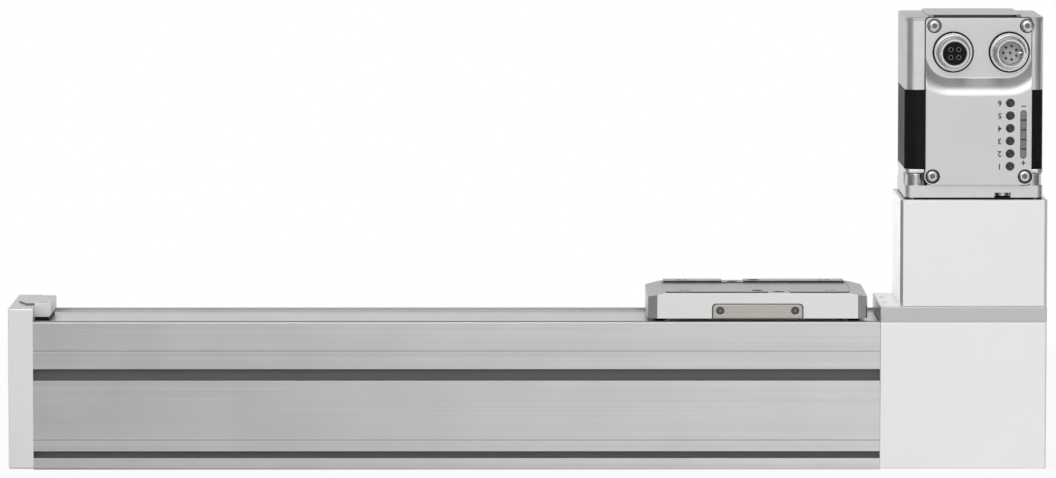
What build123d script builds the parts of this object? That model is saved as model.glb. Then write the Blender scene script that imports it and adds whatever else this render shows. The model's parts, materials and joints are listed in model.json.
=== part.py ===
"""Toothed belt linear axis with a motor at right angles to the travel.

Millimetres. The origin is the centre of the profile's underside, +X runs along the travel
towards the drive head, -Y faces the slide's front plate and +Z points up to the slide.
"""
from build123d import *
import math
import os

# Extruded profile
profile_length = 346.0
floor_thickness = 10.0
side_wall = 8.0
roof_thickness = 4.2
rim_thickness = 2.0
rim_rise = 1.27
neck_opening = 26.0
profile_edge_radius = 0.8

# Slots and channels in the profile's side walls
slot_opening = 4.75
slot_height = 38.98
slot_lip = 1.8
slot_inner_width = 8.4
slot_depth = 5.0
sensor_slot_opening = 2.85
sensor_slot_height = 6.18
sensor_slot_lip = 1.2
sensor_slot_inner_width = 4.4
sensor_slot_depth = 4.0
groove_width = 0.6
groove_depth = 0.25
groove_heights = (12.1, 48.6)
chamber_width = 3.0
chamber_height = 10.0
chamber_wall = 2.78
floor_chamber_inner = 9.0
floor_chamber_outer = 21.0
floor_chamber_low = 3.0
floor_chamber_high = 7.0
screw_channel_inset = 4.6
screw_channel_rise = 7.0
screw_channel_drop = 11.5

# Cover strip and its magnets
strip_overlap = 7.0
strip_thickness = 0.3
strip_fit = 0.15
strip_end_grip = 6.5
ramp_length = 15.0
ramp_gap = 1.0
magnet_width = 4.5
magnet_depth = 1.8
magnet_inset = 1.55
magnet_end = 8.0
small_gap = 0.03
running_gap = 0.3

# Guide rail and carriage
rail_width = 15.0
rail_height = 13.0
rail_waist = 1.4
rail_waist_bottom = 4.875
rail_waist_flank = 1.625
rail_waist_height = 1.625
rail_end_gap = 2.0
rail_screw_pitch = 60.0
rail_screw_margin = 12.0
rail_screw_depth = 5.3
guide_height = 24.0
carriage_width = 34.0
carriage_length = 40.0
carriage_cap_length = 8.5
carriage_lift = 4.3
carriage_cap_inset = 0.5
ball_gap = 0.4

# Slide and its travel
slide_length = 89.9
slide_inset = 0.3
slide_gap = 1.1
slide_front_height = 10.4
rib_rise = 0.6
rib_inset = 0.7
rib_width = 8.8
rib_gap = 9.0
rib_gap_offset = 8.7
centre_drop = 0.5
slope_length = 7.5
slide_slope = 1.6
slide_corner = 4.0
parking_gap = 5.1
end_gap_drive = 2.1
end_gap_cap = 7.4
tunnel_side_gap = 0.6
tunnel_roof_gap = 0.7
slide_end_wall = 3.2
slide_side_wall = 1.7
plate_length = 36.6
plate_height = 5.7
plate_thickness = 1.0
plate_corner = 1.6
plate_gap = 0.3
plate_screw_spacing = 30.6
mount_hole_spacing_x = 59.2
mount_hole_spacing_y = 47.0
mount_thread_radius = 2.1
centring_radius = 2.5
centring_depth = 3.0
adjuster_radius = 2.5
adjuster_depth = 4.0
strip_guide_length = 3.2

# Bracket between carriage and slide
bracket_base_thickness = 4.0
bracket_base_width = 32.0
bracket_length = 40.0
bracket_neck_width = 19.0
bracket_flange_length = 50.0
bracket_flange_thickness = 2.4
flange_lift = 0.2
flange_screw_spacing = 40.0
flange_screw_rim = 0.3
carriage_screw_spacing = 26.0
clamp_length = 32.0
clamp_thickness = 3.0
clamp_screw_pitch = 12.0
clamp_screw_count = 3
clamp_screw_rim = 0.115
clamp_band_spare = 0.23
switch_magnet_length = 10.0
sensor_gap = 0.8

# Toothed belt and pulleys
belt_pitch = 3.0
pulley_teeth = 26
belt_width = 10.0
belt_lift = 1.5
belt_line_depth = 0.381
belt_tooth_height = 1.17
belt_tooth_root = 1.9
belt_tooth_tip = 1.0
belt_back = 0.88
tooth_clearance = 0.1
land_clearance = 0.06
pulley_flange_radius = 14.0
pulley_flange_thickness = 1.0
belt_side_gap = 0.2

# Idler, yoke and tension screws
idler_shaft_radius = 4.0
idler_bush_wall = 1.5
bush_gap = 0.03
yoke_arm = 3.5
yoke_web = 3.0
yoke_web_gap = 0.7
yoke_cheek = 6.5
yoke_side_gap = 0.2
pulley_side_gap = 1.3
yoke_front = 9.0
tension_screw_length = 20.0

# End stops
stop_length = 13.0
stop_width = 24.0
stop_height = 18.0

# End cap and strip clamp
cap_thickness = 10.2
cap_rise = 5.4
head_bottom = 0.35
cap_fillet = 0.8
clamp_rise = 0.9
clamp_arm_gap = 1.3
clamp_arm_half_width = 17.5
clamp_arm_reach = 6.6
clamp_arm_root = 4.0
clamp_arc_radius = 32.3
clamp_arc_inset = 2.8
strip_jaw_inset = 0.7
strip_screw_y = 11.4
strip_screw_inset = 3.9

# Drive head
axis_offset = 38.0
housing_drop = 0.3
cover_thickness = 6.3
chamber_gap = 1.5
belt_slot_margin = 2.2
spigot_gap = 0.2
drive_shaft_radius = 5.0
bearing_outer_radius = 11.0
bearing_inner_radius = 7.2
bearing_width = 6.0
bearing_ring = 1.6
bearing_gap = 0.3
bearing_seat_gap = 0.2
pulley_bearing_gap = 2.3
hub_collar_radius = 6.5
shaft_clear = 1.0
cover_screw_x = 2.75
cover_screw_y = 11.0

# Coupling and its housing
coupling_housing_height = 43.7
coupling_housing_floor = 7.0
pilot_ledge = 1.55
coupling_chamfer = 1.2
seam_chamfer = 0.3
coupling_radius = 14.0
hub_start = 3.4
hub_length = 12.0
jaw_length = 9.6
jaw_count = 3
jaw_angle = 38.0
jaw_clearance = 1.5
jaw_inner_radius = 6.5
coupling_gap = 0.4
housing_screw_wall = 0.15

# Motor
motor_side = 56.4
motor_corner = 2.5
gasket_side = 52.0
gasket_thickness = 0.8
flange_plate = 4.9
bell_roof = 1.5
pocket_gap = 0.2
motor_bolt_spacing = 47.14
motor_shaft_radius = 4.0
motor_bearing_radius = 9.5
motor_bearing_inner = 5.6
stator_height = 32.4
stator_corner = 4.5
stator_bore = 14.5
air_gap = 0.5
rotor_end_gap = 3.0
pilot_radius = 19.05
pilot_height = 1.6
notch_x = 11.7
notch_width = 6.6
notch_height = 2.0
earth_screw_inset = 2.8
earth_screw_length = 5.0
earth_screw_head_radius = 2.4
earth_screw_head = 1.6

# Electronics housing, lid and front panel
housing_height = 28.2
housing_wall = 2.6
bearing_floor = 1.0
housing_corner = 4.0
lid_thickness = 2.3
lid_edge = 1.3
lid_raised_length = 38.0
lid_raised_x = 0.3
board_thickness = 1.6
board_y = 17.0
board_top_gap = 0.9
panel_gap = 0.6
panel_overlap = 1.2
panel_thin = 1.5
panel_rise = 3.3
panel_corner = 2.0
panel_rim_left = 2.84
panel_rim_right = 0.74
lug_radius = 3.4
lug_inset_left = 2.9
lug_inset_right = 2.6
high_screw_left = 3.5
high_screw_right = 1.9
high_screw_drop = 3.2
bay_height = 24.5
bay_corner = 10.0
bay_slope = 5.0
bay_brow = 8.3
bay_foot = 0.8
window_inset = 3.35
window_drop = 13.0
window_length = 19.7
window_width = 2.3
window_fit = 0.05
key_window_gap = 5.4
key_drop = 10.0
key_pitch = 5.16
key_count = 6
key_radius = 1.65
key_fit = 0.08
key_proud = 0.5
key_travel = 0.4
key_clear = 0.35
key_flange = 0.7
key_flange_radius = 2.2
key_skin = 1.6
key_board_edge = 0.2

# Round connectors
power_x = -8.8
connector_spacing = 22.8
connector_drop = 13.9
connector_recess = 8.36
connector_flange_radius = 7.8
connector_flange = 2.2
barrel_radius = 6.2
barrel_length = 12.6
socket_bore = 4.75
connector_tail_radius = 6.0
connector_tail = 8.0
insert_fit = 0.05
insert_recess = 0.7
contact_circle = 2.0
contact_radius = 0.75
pin_circle = 2.75
pin_radius = 0.5
pin_length = 4.5
pin_count = 7

# Fasteners
m5_radius = 2.5
m5_head_radius = 4.25
m5_head = 5.0
m5_length = 20.0
m4_radius = 2.0
m4_head_radius = 3.75
m4_length = 8.0
m4_cap_radius = 3.5
m4_cap_head = 4.0
profile_screw_length = 20.0
m3_radius = 1.5
m3_head_radius = 2.9
m3_length = 8.0
small_radius = 1.0
small_head_radius = 1.6
small_head = 0.6
panel_screw_radius = 1.4
panel_head_radius = 2.6
panel_head = 1.8
panel_screw_length = 7.0
panel_screw_short = 1.75
washer_recess = 2.95
hole_margin = 0.35
hex_share = 0.5
eps = 0.01

# Heights, from the floor up through guide, bracket and belt to the roof
rail_top = floor_thickness + rail_height
carriage_top = floor_thickness + guide_height
bracket_base_top = carriage_top + bracket_base_thickness
belt_bottom = bracket_base_top + belt_lift
belt_top = belt_bottom + belt_width
belt_middle = belt_bottom + belt_width / 2
roof_bottom = belt_top + 2 * m3_head_radius + clamp_band_spare
roof_top = roof_bottom + roof_thickness
profile_height = roof_top + rim_rise
strip_bottom = roof_top - strip_thickness
screw_channel_low = floor_thickness + screw_channel_rise
screw_channel_high = profile_height - screw_channel_drop
chamber_high = slot_height - slot_inner_width / 2 - chamber_wall

# Widths, from the pulley out through the yoke to the profile
yoke_inner = pulley_flange_radius + pulley_side_gap
yoke_outer = yoke_inner + yoke_cheek
tension_screw_y = (yoke_inner + yoke_outer) / 2
cavity_half = yoke_outer + yoke_side_gap
half_width = cavity_half + side_wall
strip_width = neck_opening + 2 * strip_overlap

# Slide
half_length = profile_length / 2
slide_x = half_length - parking_gap - slide_length / 2
slide_width = 2 * (half_width - slide_inset)
slide_bottom = profile_height + slide_gap
slide_top = slide_bottom + slide_front_height
rib_top = slide_top + rib_rise
rib_outer = slide_width / 2 - rib_inset
rib_inner = rib_outer - rib_width
rib_half_length = slide_length / 2 - slope_length
bracket_flange_width = slide_width - 2 * (plate_thickness + slide_side_wall)
bracket_flange_top = slide_bottom + flange_lift + bracket_flange_thickness
strip_lift = bracket_flange_top + running_gap - strip_bottom
tunnel_half_width = strip_width / 2 + tunnel_side_gap
tunnel_top = bracket_flange_top + running_gap + strip_thickness + tunnel_roof_gap
carriage_half = carriage_length / 2 + carriage_cap_length
travel_on = parking_gap - end_gap_drive
travel_back = profile_length - slide_length - parking_gap - clamp_arm_reach - end_gap_cap

# Belt drive
pitch_radius = belt_pitch * pulley_teeth / (2 * math.pi)
pulley_radius = pitch_radius - belt_line_depth
belt_outer = pitch_radius + belt_back
axis_x = half_length + axis_offset
idler_inset = running_gap + yoke_web + yoke_web_gap + pulley_flange_radius
pitches_apart = math.floor((axis_x + half_length - idler_inset) / belt_pitch + eps)
idler_x = axis_x - pitches_apart * belt_pitch
pulley_bottom = belt_bottom - belt_side_gap - pulley_flange_thickness
pulley_top = belt_top + belt_side_gap + pulley_flange_thickness

# Drive head
head_half = half_width
head_end = axis_x + head_half
housing_top = profile_height - housing_drop
cover_top = housing_top + cover_thickness
cap_top = profile_height + cap_rise
clamp_top = cap_top + clamp_rise
clamp_arm_bottom = profile_height + clamp_arm_gap
chamber_radius = pulley_flange_radius + chamber_gap
spigot_radius = chamber_radius - spigot_gap
spigot_depth = bearing_width + bearing_seat_gap
lower_bearing = pulley_bottom - pulley_bearing_gap - bearing_width
upper_bearing = housing_top - spigot_depth
coupling_housing_top = cover_top + coupling_housing_height
coupling_bore = pilot_radius - pilot_ledge
coupling_start = cover_top + hub_start
jaw_start = coupling_start + hub_length
jaw_end = jaw_start + jaw_length
housing_screw_seat = cover_top + coupling_housing_floor
housing_screw_circle = pilot_radius + housing_screw_wall + m5_head_radius + hole_margin

# Motor
flange_bottom = coupling_housing_top + gasket_thickness
flange_top = flange_bottom + flange_plate
bell_top = flange_top + m5_head + pocket_gap + bell_roof
stator_top = bell_top + stator_height
housing_start = stator_top
housing_end = housing_start + housing_height
housing_floor = bearing_width + bearing_floor
board_height = housing_height - housing_floor - lid_edge - board_top_gap
motor_half = motor_side / 2

# Front panel, its screws, keys, window and connectors, from the motor axis
panel_face = -(motor_half + panel_thin + panel_rise)
bay_face = -(motor_half + panel_thin)
panel_bottom = flange_top + panel_gap
panel_top = housing_end + panel_overlap
bay_bottom = panel_top - bay_height
signal_x = power_x + connector_spacing
panel_left = power_x - connector_recess - panel_rim_left
panel_right = signal_x + connector_recess + panel_rim_right
connector_height = panel_top - connector_drop
lug_z = panel_bottom + lug_radius
panel_screws_low = ((panel_left + lug_inset_left, lug_z),
                    (panel_right - lug_inset_right, lug_z))
panel_screws_high = ((panel_left + high_screw_left, panel_top - high_screw_drop),
                     (panel_right - high_screw_right, panel_top - high_screw_drop))
window_x = panel_right - window_inset
window_high = bay_bottom - window_drop
window_low = window_high - window_length
key_x = window_x - key_window_gap
key_top = bay_bottom - key_drop


def block(x0, x1, y0, y1, z0, z1):
    """Solid box between two opposite corners."""
    return Pos((x0 + x1) / 2, (y0 + y1) / 2, (z0 + z1) / 2) * Box(x1 - x0, y1 - y0, z1 - z0)


def rod_z(x, y, z0, z1, radius):
    """Upright cylinder."""
    return Pos(x, y, (z0 + z1) / 2) * Cylinder(radius, z1 - z0)


def rod_x(x0, x1, y, z, radius):
    """Cylinder along the travel."""
    return Pos((x0 + x1) / 2, y, z) * Rot(0, 90, 0) * Cylinder(radius, x1 - x0)


def rod_y(x, y0, y1, z, radius):
    """Cylinder across the travel."""
    return Pos(x, (y0 + y1) / 2, z) * Rot(90, 0, 0) * Cylinder(radius, y1 - y0)


def panel_rect(y0, y1, z0, z1):
    """Rectangle in the profile's cross-section."""
    return Pos((y0 + y1) / 2, (z0 + z1) / 2) * Rectangle(y1 - y0, z1 - z0)


def square_prism(side, corner, z0, z1):
    """Square prism round the motor axis with rounded upright edges."""
    return Pos(axis_x, 0, z0) * extrude(RectangleRounded(side, side, corner), z1 - z0)


def write(name, solids):
    """Write one node; a group of equal pieces shares one file."""
    pieces = list(solids)
    shape = pieces[0] if len(pieces) == 1 else Compound(children=pieces)
    export_step(shape, os.path.join("parts", name + ".step"))


def socket_screw(radius, length, head_radius, head):
    """Socket head screw: the head's underside is at the origin, the shank points to -Z."""
    body = rod_z(0, 0, -length, 0, radius) + rod_z(0, 0, 0, head, head_radius)
    key = RegularPolygon(head_radius * hex_share, 6)
    return body - Pos(0, 0, head / 2) * extrude(key, head)


def flat_screw(radius, length, head_radius):
    """Countersunk screw: the head's flat face is at the origin, the shank points to -Z."""
    cone = Pos(0, 0, -(head_radius - radius) / 2) * Cone(radius, head_radius, head_radius - radius)
    body = rod_z(0, 0, -length, 0, radius) + cone
    key = RegularPolygon(head_radius * hex_share, 6)
    return body - Pos(0, 0, -(head_radius - radius)) * extrude(key, head_radius)


def sink(radius, head_radius):
    """Countersink cut that a flat screw fills."""
    depth = head_radius - radius
    return Pos(0, 0, -depth / 2) * Cone(radius, head_radius, depth)


# Extruded profile

def profile_screw_places():
    """Screw channels in the corners of the profile: (y, z)."""
    y = half_width - screw_channel_inset
    return [(side * y, z) for side in (-1, 1) for z in (screw_channel_low, screw_channel_high)]


def rail_screw_places():
    """Rail screws along the rail: x."""
    room = profile_length - 2 * (rail_end_gap + rail_screw_margin)
    gaps = math.floor(room / rail_screw_pitch + eps)
    return [rail_screw_pitch * (i - gaps / 2) for i in range(gaps + 1)]


def side_cuts(side):
    """Slots, grooves and chambers in one wall of the profile."""
    def wall_rect(depth_in, depth_out, z0, z1):
        a = side * (half_width - depth_in)
        b = side * (half_width - depth_out)
        return panel_rect(min(a, b), max(a, b), z0, z1)

    inner = slot_inner_width / 2
    sensor_inner = sensor_slot_inner_width / 2
    cuts = [
        wall_rect(slot_depth, -1, slot_height - slot_opening / 2, slot_height + slot_opening / 2),
        wall_rect(slot_depth, slot_lip, slot_height - inner, slot_height + inner),
        wall_rect(sensor_slot_depth, -1, sensor_slot_height - sensor_slot_opening / 2,
                  sensor_slot_height + sensor_slot_opening / 2),
        wall_rect(sensor_slot_depth, sensor_slot_lip, sensor_slot_height - sensor_inner,
                  sensor_slot_height + sensor_inner),
        wall_rect((side_wall + chamber_width) / 2, (side_wall - chamber_width) / 2,
                  chamber_high - chamber_height, chamber_high),
    ]
    for z in groove_heights:
        cuts.append(wall_rect(groove_depth, -1, z - groove_width / 2, z + groove_width / 2))
    low, high = sorted((side * floor_chamber_inner, side * floor_chamber_outer))
    cuts.append(panel_rect(low, high, floor_chamber_low, floor_chamber_high))
    return cuts


def profile():
    """Aluminium extrusion, open at the top, that carries the rail and guides the strip."""
    section = panel_rect(-half_width, half_width, 0, profile_height)
    section = fillet(section.vertices(), profile_edge_radius)
    section -= panel_rect(-cavity_half, cavity_half, floor_thickness, roof_bottom)
    section -= panel_rect(-neck_opening / 2, neck_opening / 2, floor_thickness, roof_top + 1)
    rim_inner = half_width - rim_thickness
    section -= panel_rect(-rim_inner, rim_inner, roof_top, profile_height + 1)
    recess = strip_width / 2 + strip_fit
    section -= panel_rect(-recess, recess, strip_bottom, roof_top + 1)
    for side in (-1, 1):
        for cut in side_cuts(side):
            section -= cut
        a, b = sorted((side * magnet_start(), side * (magnet_start() + magnet_width)))
        section -= panel_rect(a, b, magnet_bottom(), roof_top)
    for y, z in profile_screw_places():
        section -= Pos(y, z) * Circle(m4_radius)
    body = extrude(Plane.YZ.offset(-half_length) * section, profile_length)
    for x in rail_screw_places():
        body -= rod_z(x, 0, floor_thickness - rail_hold(), floor_thickness + 1, m4_radius)
    return body


def rail_hold():
    """Depth of the rail screws in the profile's floor."""
    return floor_thickness - floor_chamber_low


def magnet_start():
    """Inner edge of a magnet strip."""
    return neck_opening / 2 + magnet_inset


def magnet_bottom():
    """Underside of the magnet strips."""
    return strip_bottom - magnet_depth


def magnet_strips():
    """Two magnet strips under the cover strip."""
    z0 = magnet_bottom()
    strips = []
    for side in (-1, 1):
        a, b = sorted((side * magnet_start(), side * (magnet_start() + magnet_width)))
        strips.append(block(-half_length + magnet_end, half_length - small_gap, a, b,
                            z0, strip_bottom - small_gap))
    return strips


def cover_strip():
    """Thin steel strip, flush in the profile and lifted over the bracket inside the slide."""
    start = -half_length + small_gap
    end = half_length + strip_end_grip
    flat = bracket_flange_length / 2 + ramp_gap
    foot = flat + ramp_length
    low = strip_bottom
    high = strip_bottom + strip_lift
    middle = (low + high) / 2
    half_run = ramp_length / 2
    radius = (half_run ** 2 + (strip_lift / 2) ** 2) / strip_lift

    def rise(x_foot, direction, shift):
        """Two tangent arcs from the low level to the high one."""
        x_mid = x_foot + direction * half_run
        x_high = x_foot + direction * ramp_length
        half_turn = math.asin(half_run / radius) / 2
        dx = radius * math.sin(half_turn)
        dz = radius * (1 - math.cos(half_turn))
        first = ThreePointArc((x_foot, low + shift),
                              (x_foot + direction * dx, low + shift + dz),
                              (x_mid, middle + shift))
        second = ThreePointArc((x_mid, middle + shift),
                               (x_high - direction * dx, high + shift - dz),
                               (x_high, high + shift))
        return first, second

    def line_of(shift):
        """Side view of one face of the strip."""
        left = rise(slide_x - foot, 1, shift)
        right = rise(slide_x + foot, -1, shift)
        return [
            Line((start, low + shift), (slide_x - foot, low + shift)), *left,
            Line((slide_x - flat, high + shift), (slide_x + flat, high + shift)), *right,
            Line((slide_x + foot, low + shift), (end, low + shift)),
        ]

    lower = line_of(0)
    upper = line_of(strip_thickness)
    ends = [Line((start, low), (start, low + strip_thickness)),
            Line((end, low), (end, low + strip_thickness))]
    side_view = make_face(Curve() + lower + upper + ends)
    return extrude(Plane.XZ.offset(-strip_width / 2) * side_view, strip_width)


# Rail and carriage

def rail_section(gap):
    """Rail cross-section, grown by a gap for the channel that rides on it."""
    half = rail_width / 2 + gap
    waist = half - rail_waist
    base = 0 if gap == 0 else -rail_height
    top = rail_height + gap
    flank_top = rail_waist_bottom + rail_waist_flank
    waist_top = flank_top + rail_waist_height
    points = [(half, base), (half, rail_waist_bottom), (waist, flank_top), (waist, waist_top),
              (half, waist_top + rail_waist_flank), (half, top)]
    mirrored = [(-y, z) for y, z in reversed(points)]
    return Pos(0, floor_thickness) * make_face(Polyline(*points, *mirrored, close=True))


def guide_rail():
    """Hardened rail with a waist on both sides for the balls."""
    length = profile_length - 2 * rail_end_gap
    rail = extrude(Plane.YZ.offset(-length / 2) * rail_section(0), length)
    for x in rail_screw_places():
        rail -= rod_z(x, 0, floor_thickness - 1, rail_top, m4_radius)
        rail -= rod_z(x, 0, rail_top - rail_screw_depth, rail_top + 1, m4_cap_radius + hole_margin)
    return rail


def rail_screws():
    """Screws that hold the rail on the profile's floor."""
    seat = rail_top - rail_screw_depth
    length = seat - floor_thickness + rail_hold() - running_gap
    screw = socket_screw(m4_radius, length, m4_cap_radius, m4_cap_head)
    return [Pos(x, 0, seat) * screw for x in rail_screw_places()]


def channel(x0, x1, width, top):
    """Block that rides on the rail."""
    section = panel_rect(-width / 2, width / 2, floor_thickness + carriage_lift, top)
    section -= rail_section(ball_gap)
    return extrude(Plane.YZ.offset(x0) * section, x1 - x0)


def carriage_screw_places():
    """Screws between bracket and carriage: (x, y)."""
    half = carriage_screw_spacing / 2
    return [(slide_x + sx * half, sy * half) for sx in (-1, 1) for sy in (-1, 1)]


def guide_carriage():
    """Steel carriage block with four threaded holes."""
    half = carriage_length / 2
    body = channel(slide_x - half, slide_x + half, carriage_width, carriage_top)
    for x, y in carriage_screw_places():
        body -= rod_z(x, y, bracket_base_top - m4_length - hole_margin, carriage_top + 1, m4_radius)
    return body


def carriage_end_caps():
    """Plastic caps that return the balls at both ends of the carriage."""
    half = carriage_length / 2
    width = carriage_width - 2 * carriage_cap_inset
    top = carriage_top - carriage_cap_inset
    return [channel(slide_x + half, slide_x + carriage_half, width, top),
            channel(slide_x - carriage_half, slide_x - half, width, top)]


def stop_edge(side):
    """Face of a stop buffer that the carriage meets at the end of its travel."""
    travel = travel_on if side > 0 else -travel_back
    return slide_x + travel + side * (carriage_half + running_gap)


def stop_buffers():
    """Rubber faced stops on the rail at both ends of the travel."""
    stops = []
    for side in (-1, 1):
        face = stop_edge(side)
        x0, x1 = sorted((face, face + side * stop_length))
        section = panel_rect(-stop_width / 2, stop_width / 2, floor_thickness,
                             floor_thickness + stop_height)
        section -= rail_section(0)
        stops.append(extrude(Plane.YZ.offset(x0) * section, x1 - x0))
    return stops


# Belt and pulleys

def loop_point(distance, depth):
    """Point on the belt loop, at a distance along the pitch line and a depth towards inside."""
    span = idler_to_drive()
    arc = math.pi * pitch_radius
    s = distance % (2 * span + 2 * arc)
    r = pitch_radius - depth
    if s < arc:
        angle = math.pi / 2 - s / pitch_radius
        return (axis_x + r * math.cos(angle), r * math.sin(angle))
    if s < arc + span:
        return (axis_x - (s - arc), -r)
    if s < 2 * arc + span:
        angle = -math.pi / 2 - (s - arc - span) / pitch_radius
        return (idler_x + r * math.cos(angle), r * math.sin(angle))
    return (idler_x + (s - 2 * arc - span), r)


def idler_to_drive():
    """Distance between the two pulley axes."""
    return axis_x - idler_x


def toothed_belt():
    """Closed belt with trapezoid teeth on its inner side."""
    count = 2 * pitches_apart + pulley_teeth
    land = belt_line_depth - land_clearance
    tip = land + belt_tooth_height
    inner = []
    for i in range(count):
        centre = i * belt_pitch
        inner += [loop_point(centre - belt_tooth_root / 2, land),
                  loop_point(centre - belt_tooth_tip / 2, tip),
                  loop_point(centre + belt_tooth_tip / 2, tip),
                  loop_point(centre + belt_tooth_root / 2, land)]
    outline = Pos((axis_x + idler_x) / 2, 0) * SlotCenterToCenter(idler_to_drive(), 2 * belt_outer)
    ring = outline - make_face(Polyline(*inner, close=True))
    return Pos(0, 0, belt_bottom) * extrude(ring, belt_width)


def tooth_gap(centre_angle):
    """Corners of one pulley tooth space, seen from above, round the origin."""
    root = (belt_tooth_root / 2 + tooth_clearance) / pitch_radius
    floor_radius = pulley_radius - belt_tooth_height - tooth_clearance
    tip = (belt_tooth_tip / 2 + tooth_clearance) / floor_radius
    corners = ((pulley_radius, root), (floor_radius, tip), (floor_radius, -tip),
               (pulley_radius, -root))
    return [(r * math.cos(centre_angle + a), r * math.sin(centre_angle + a)) for r, a in corners]


def toothed_pulley(x, start_angle, bore, collar):
    """Pulley with flanges; the first tooth space is at the start angle."""
    points = []
    for i in range(pulley_teeth):
        points += tooth_gap(start_angle - 2 * math.pi * i / pulley_teeth)
    body = Pos(0, 0, pulley_bottom) * extrude(make_face(Polyline(*points, close=True)),
                                              pulley_top - pulley_bottom)
    body += rod_z(0, 0, pulley_bottom, pulley_bottom + pulley_flange_thickness,
                  pulley_flange_radius)
    body += rod_z(0, 0, pulley_top - pulley_flange_thickness, pulley_top, pulley_flange_radius)
    if collar:
        body += rod_z(0, 0, lower_bearing + bearing_width, upper_bearing, hub_collar_radius)
    body -= rod_z(0, 0, lower_bearing, upper_bearing + 1, bore)
    return Pos(x, 0, 0) * body


def drive_pulley():
    """Pulley on the drive shaft."""
    return toothed_pulley(axis_x, math.pi / 2, drive_shaft_radius, True)


def idler_pulley():
    """Pulley at the far end; its tooth phase follows from the belt's length."""
    travelled = math.pi * pitch_radius + idler_to_drive()
    phase = -math.pi / 2 + (travelled % belt_pitch) / pitch_radius
    return toothed_pulley(idler_x, phase, idler_shaft_radius + idler_bush_wall, False)


def idler_bush():
    """Bearing bush pressed into the idler."""
    outer = rod_z(idler_x, 0, pulley_bottom, pulley_top, idler_shaft_radius + idler_bush_wall)
    return outer - rod_z(idler_x, 0, pulley_bottom - 1, pulley_top + 1,
                         idler_shaft_radius + bush_gap)


def yoke_bottom():
    """Underside of the tensioner yoke."""
    return pulley_bottom - running_gap - yoke_arm


def yoke_top():
    """Upper side of the tensioner yoke."""
    return pulley_top + running_gap + yoke_arm


def yoke_left():
    """Outer end of the tensioner yoke, just inside the end cap."""
    return -half_length + running_gap


def tensioner_yoke():
    """Fork that holds the idler shaft and is pulled towards the end cap by two screws."""
    body = block(yoke_left(), idler_x + yoke_front, -yoke_outer, yoke_outer, yoke_bottom(),
                 yoke_top())
    body -= block(yoke_left() + yoke_web, idler_x + yoke_front + 1, -yoke_inner, yoke_inner,
                  pulley_bottom - running_gap, pulley_top + running_gap)
    body -= rod_z(idler_x, 0, yoke_bottom() - 1, yoke_top() + 1, idler_shaft_radius)
    for y in (-tension_screw_y, tension_screw_y):
        body -= rod_x(yoke_left() - 1, idler_x + yoke_front + 1, y, belt_middle, m4_radius)
    return body


def idler_shaft():
    """Shaft pressed into both arms of the yoke."""
    return rod_z(idler_x, 0, yoke_bottom(), yoke_top(), idler_shaft_radius)


def tension_screws():
    """Screws through the end cap that set the belt tension."""
    seat = -half_length - cap_thickness + m4_cap_head + hole_margin
    screw = socket_screw(m4_radius, tension_screw_length, m4_cap_radius, m4_cap_head)
    return [Pos(seat, y, belt_middle) * Rot(0, -90, 0) * screw
            for y in (-tension_screw_y, tension_screw_y)]


# End cap and strip clamp

def clamp_screw_x():
    """Place of the strip clamp's screws along the travel."""
    return -half_length + strip_screw_inset


def cap_screw_seat():
    """Seat of the profile screws in the end cap."""
    return -half_length - cap_thickness + m4_cap_head + hole_margin


def clamp_arm():
    """Block of the strip clamp that reaches over the strip."""
    return block(-half_length - clamp_arm_root, -half_length + clamp_arm_reach,
                 -clamp_arm_half_width, clamp_arm_half_width, clamp_arm_bottom, clamp_top)


def end_cap():
    """Cast end cap with seats for the profile screws and the tension screws."""
    outer = -half_length - cap_thickness
    body = block(outer, -half_length, -half_width, half_width, head_bottom, cap_top)
    rounded = body.faces().sort_by(Axis.X)[0].edges() + body.edges().filter_by(Axis.X)
    body = fillet(rounded, cap_fillet)
    body -= clamp_arm()
    for y, z in profile_screw_places():
        body -= rod_x(outer - 1, -half_length + 1, y, z, m4_radius)
        body -= rod_x(outer - 1, cap_screw_seat(), y, z, m4_cap_radius + hole_margin)
    for y in (-tension_screw_y, tension_screw_y):
        body -= rod_x(outer - 1, -half_length + 1, y, belt_middle, m4_radius)
        body -= rod_x(outer - 1, outer + m4_cap_head + hole_margin, y, belt_middle,
                      m4_cap_radius + hole_margin)
    return body


def strip_clamp():
    """Raised clamp on the end cap with a curved outer edge and an arm over the strip."""
    outer = -half_length - cap_thickness
    reach = -half_length + clamp_arm_reach
    arc_centre = outer + clamp_arc_inset + clamp_arc_radius
    plan = Pos((outer + reach) / 2, 0) * Rectangle(reach - outer, 2 * clamp_arm_half_width)
    plan = plan & (Pos(arc_centre, 0) * Circle(clamp_arc_radius))
    boss = Pos(0, 0, cap_top) * extrude(plan, clamp_top - cap_top)
    body = boss + clamp_arm()
    for y in (-strip_screw_y, strip_screw_y):
        body -= rod_z(clamp_screw_x(), y, clamp_arm_bottom - 1, clamp_top + 1, small_radius)
        body -= Pos(clamp_screw_x(), y, clamp_top) * sink(small_radius, small_radius + small_head)
        body -= rod_z(clamp_screw_x(), y, clamp_top - small_head, clamp_top + 1,
                      small_radius + small_head + hole_margin)
    return body


def strip_jaws():
    """Pressure plates on the strip's ends, under the clamp arm and under the drive cover."""
    jaw_bottom = roof_top + small_gap
    half = clamp_arm_half_width - strip_jaw_inset
    left = block(-half_length + small_gap, -half_length + clamp_arm_reach - strip_jaw_inset,
                 -half, half, jaw_bottom, clamp_arm_bottom)
    right = block(half_length + small_gap, half_length + strip_end_grip, -half, half,
                  jaw_bottom, housing_top - small_gap)
    for y in (-strip_screw_y, strip_screw_y):
        left -= rod_z(clamp_screw_x(), y, jaw_bottom - 1, clamp_arm_bottom + 1, small_radius)
    for y in (-cover_screw_y, cover_screw_y):
        right -= rod_z(half_length + cover_screw_x, y, jaw_bottom - 1, housing_top, small_radius)
    return [left, right]


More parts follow.
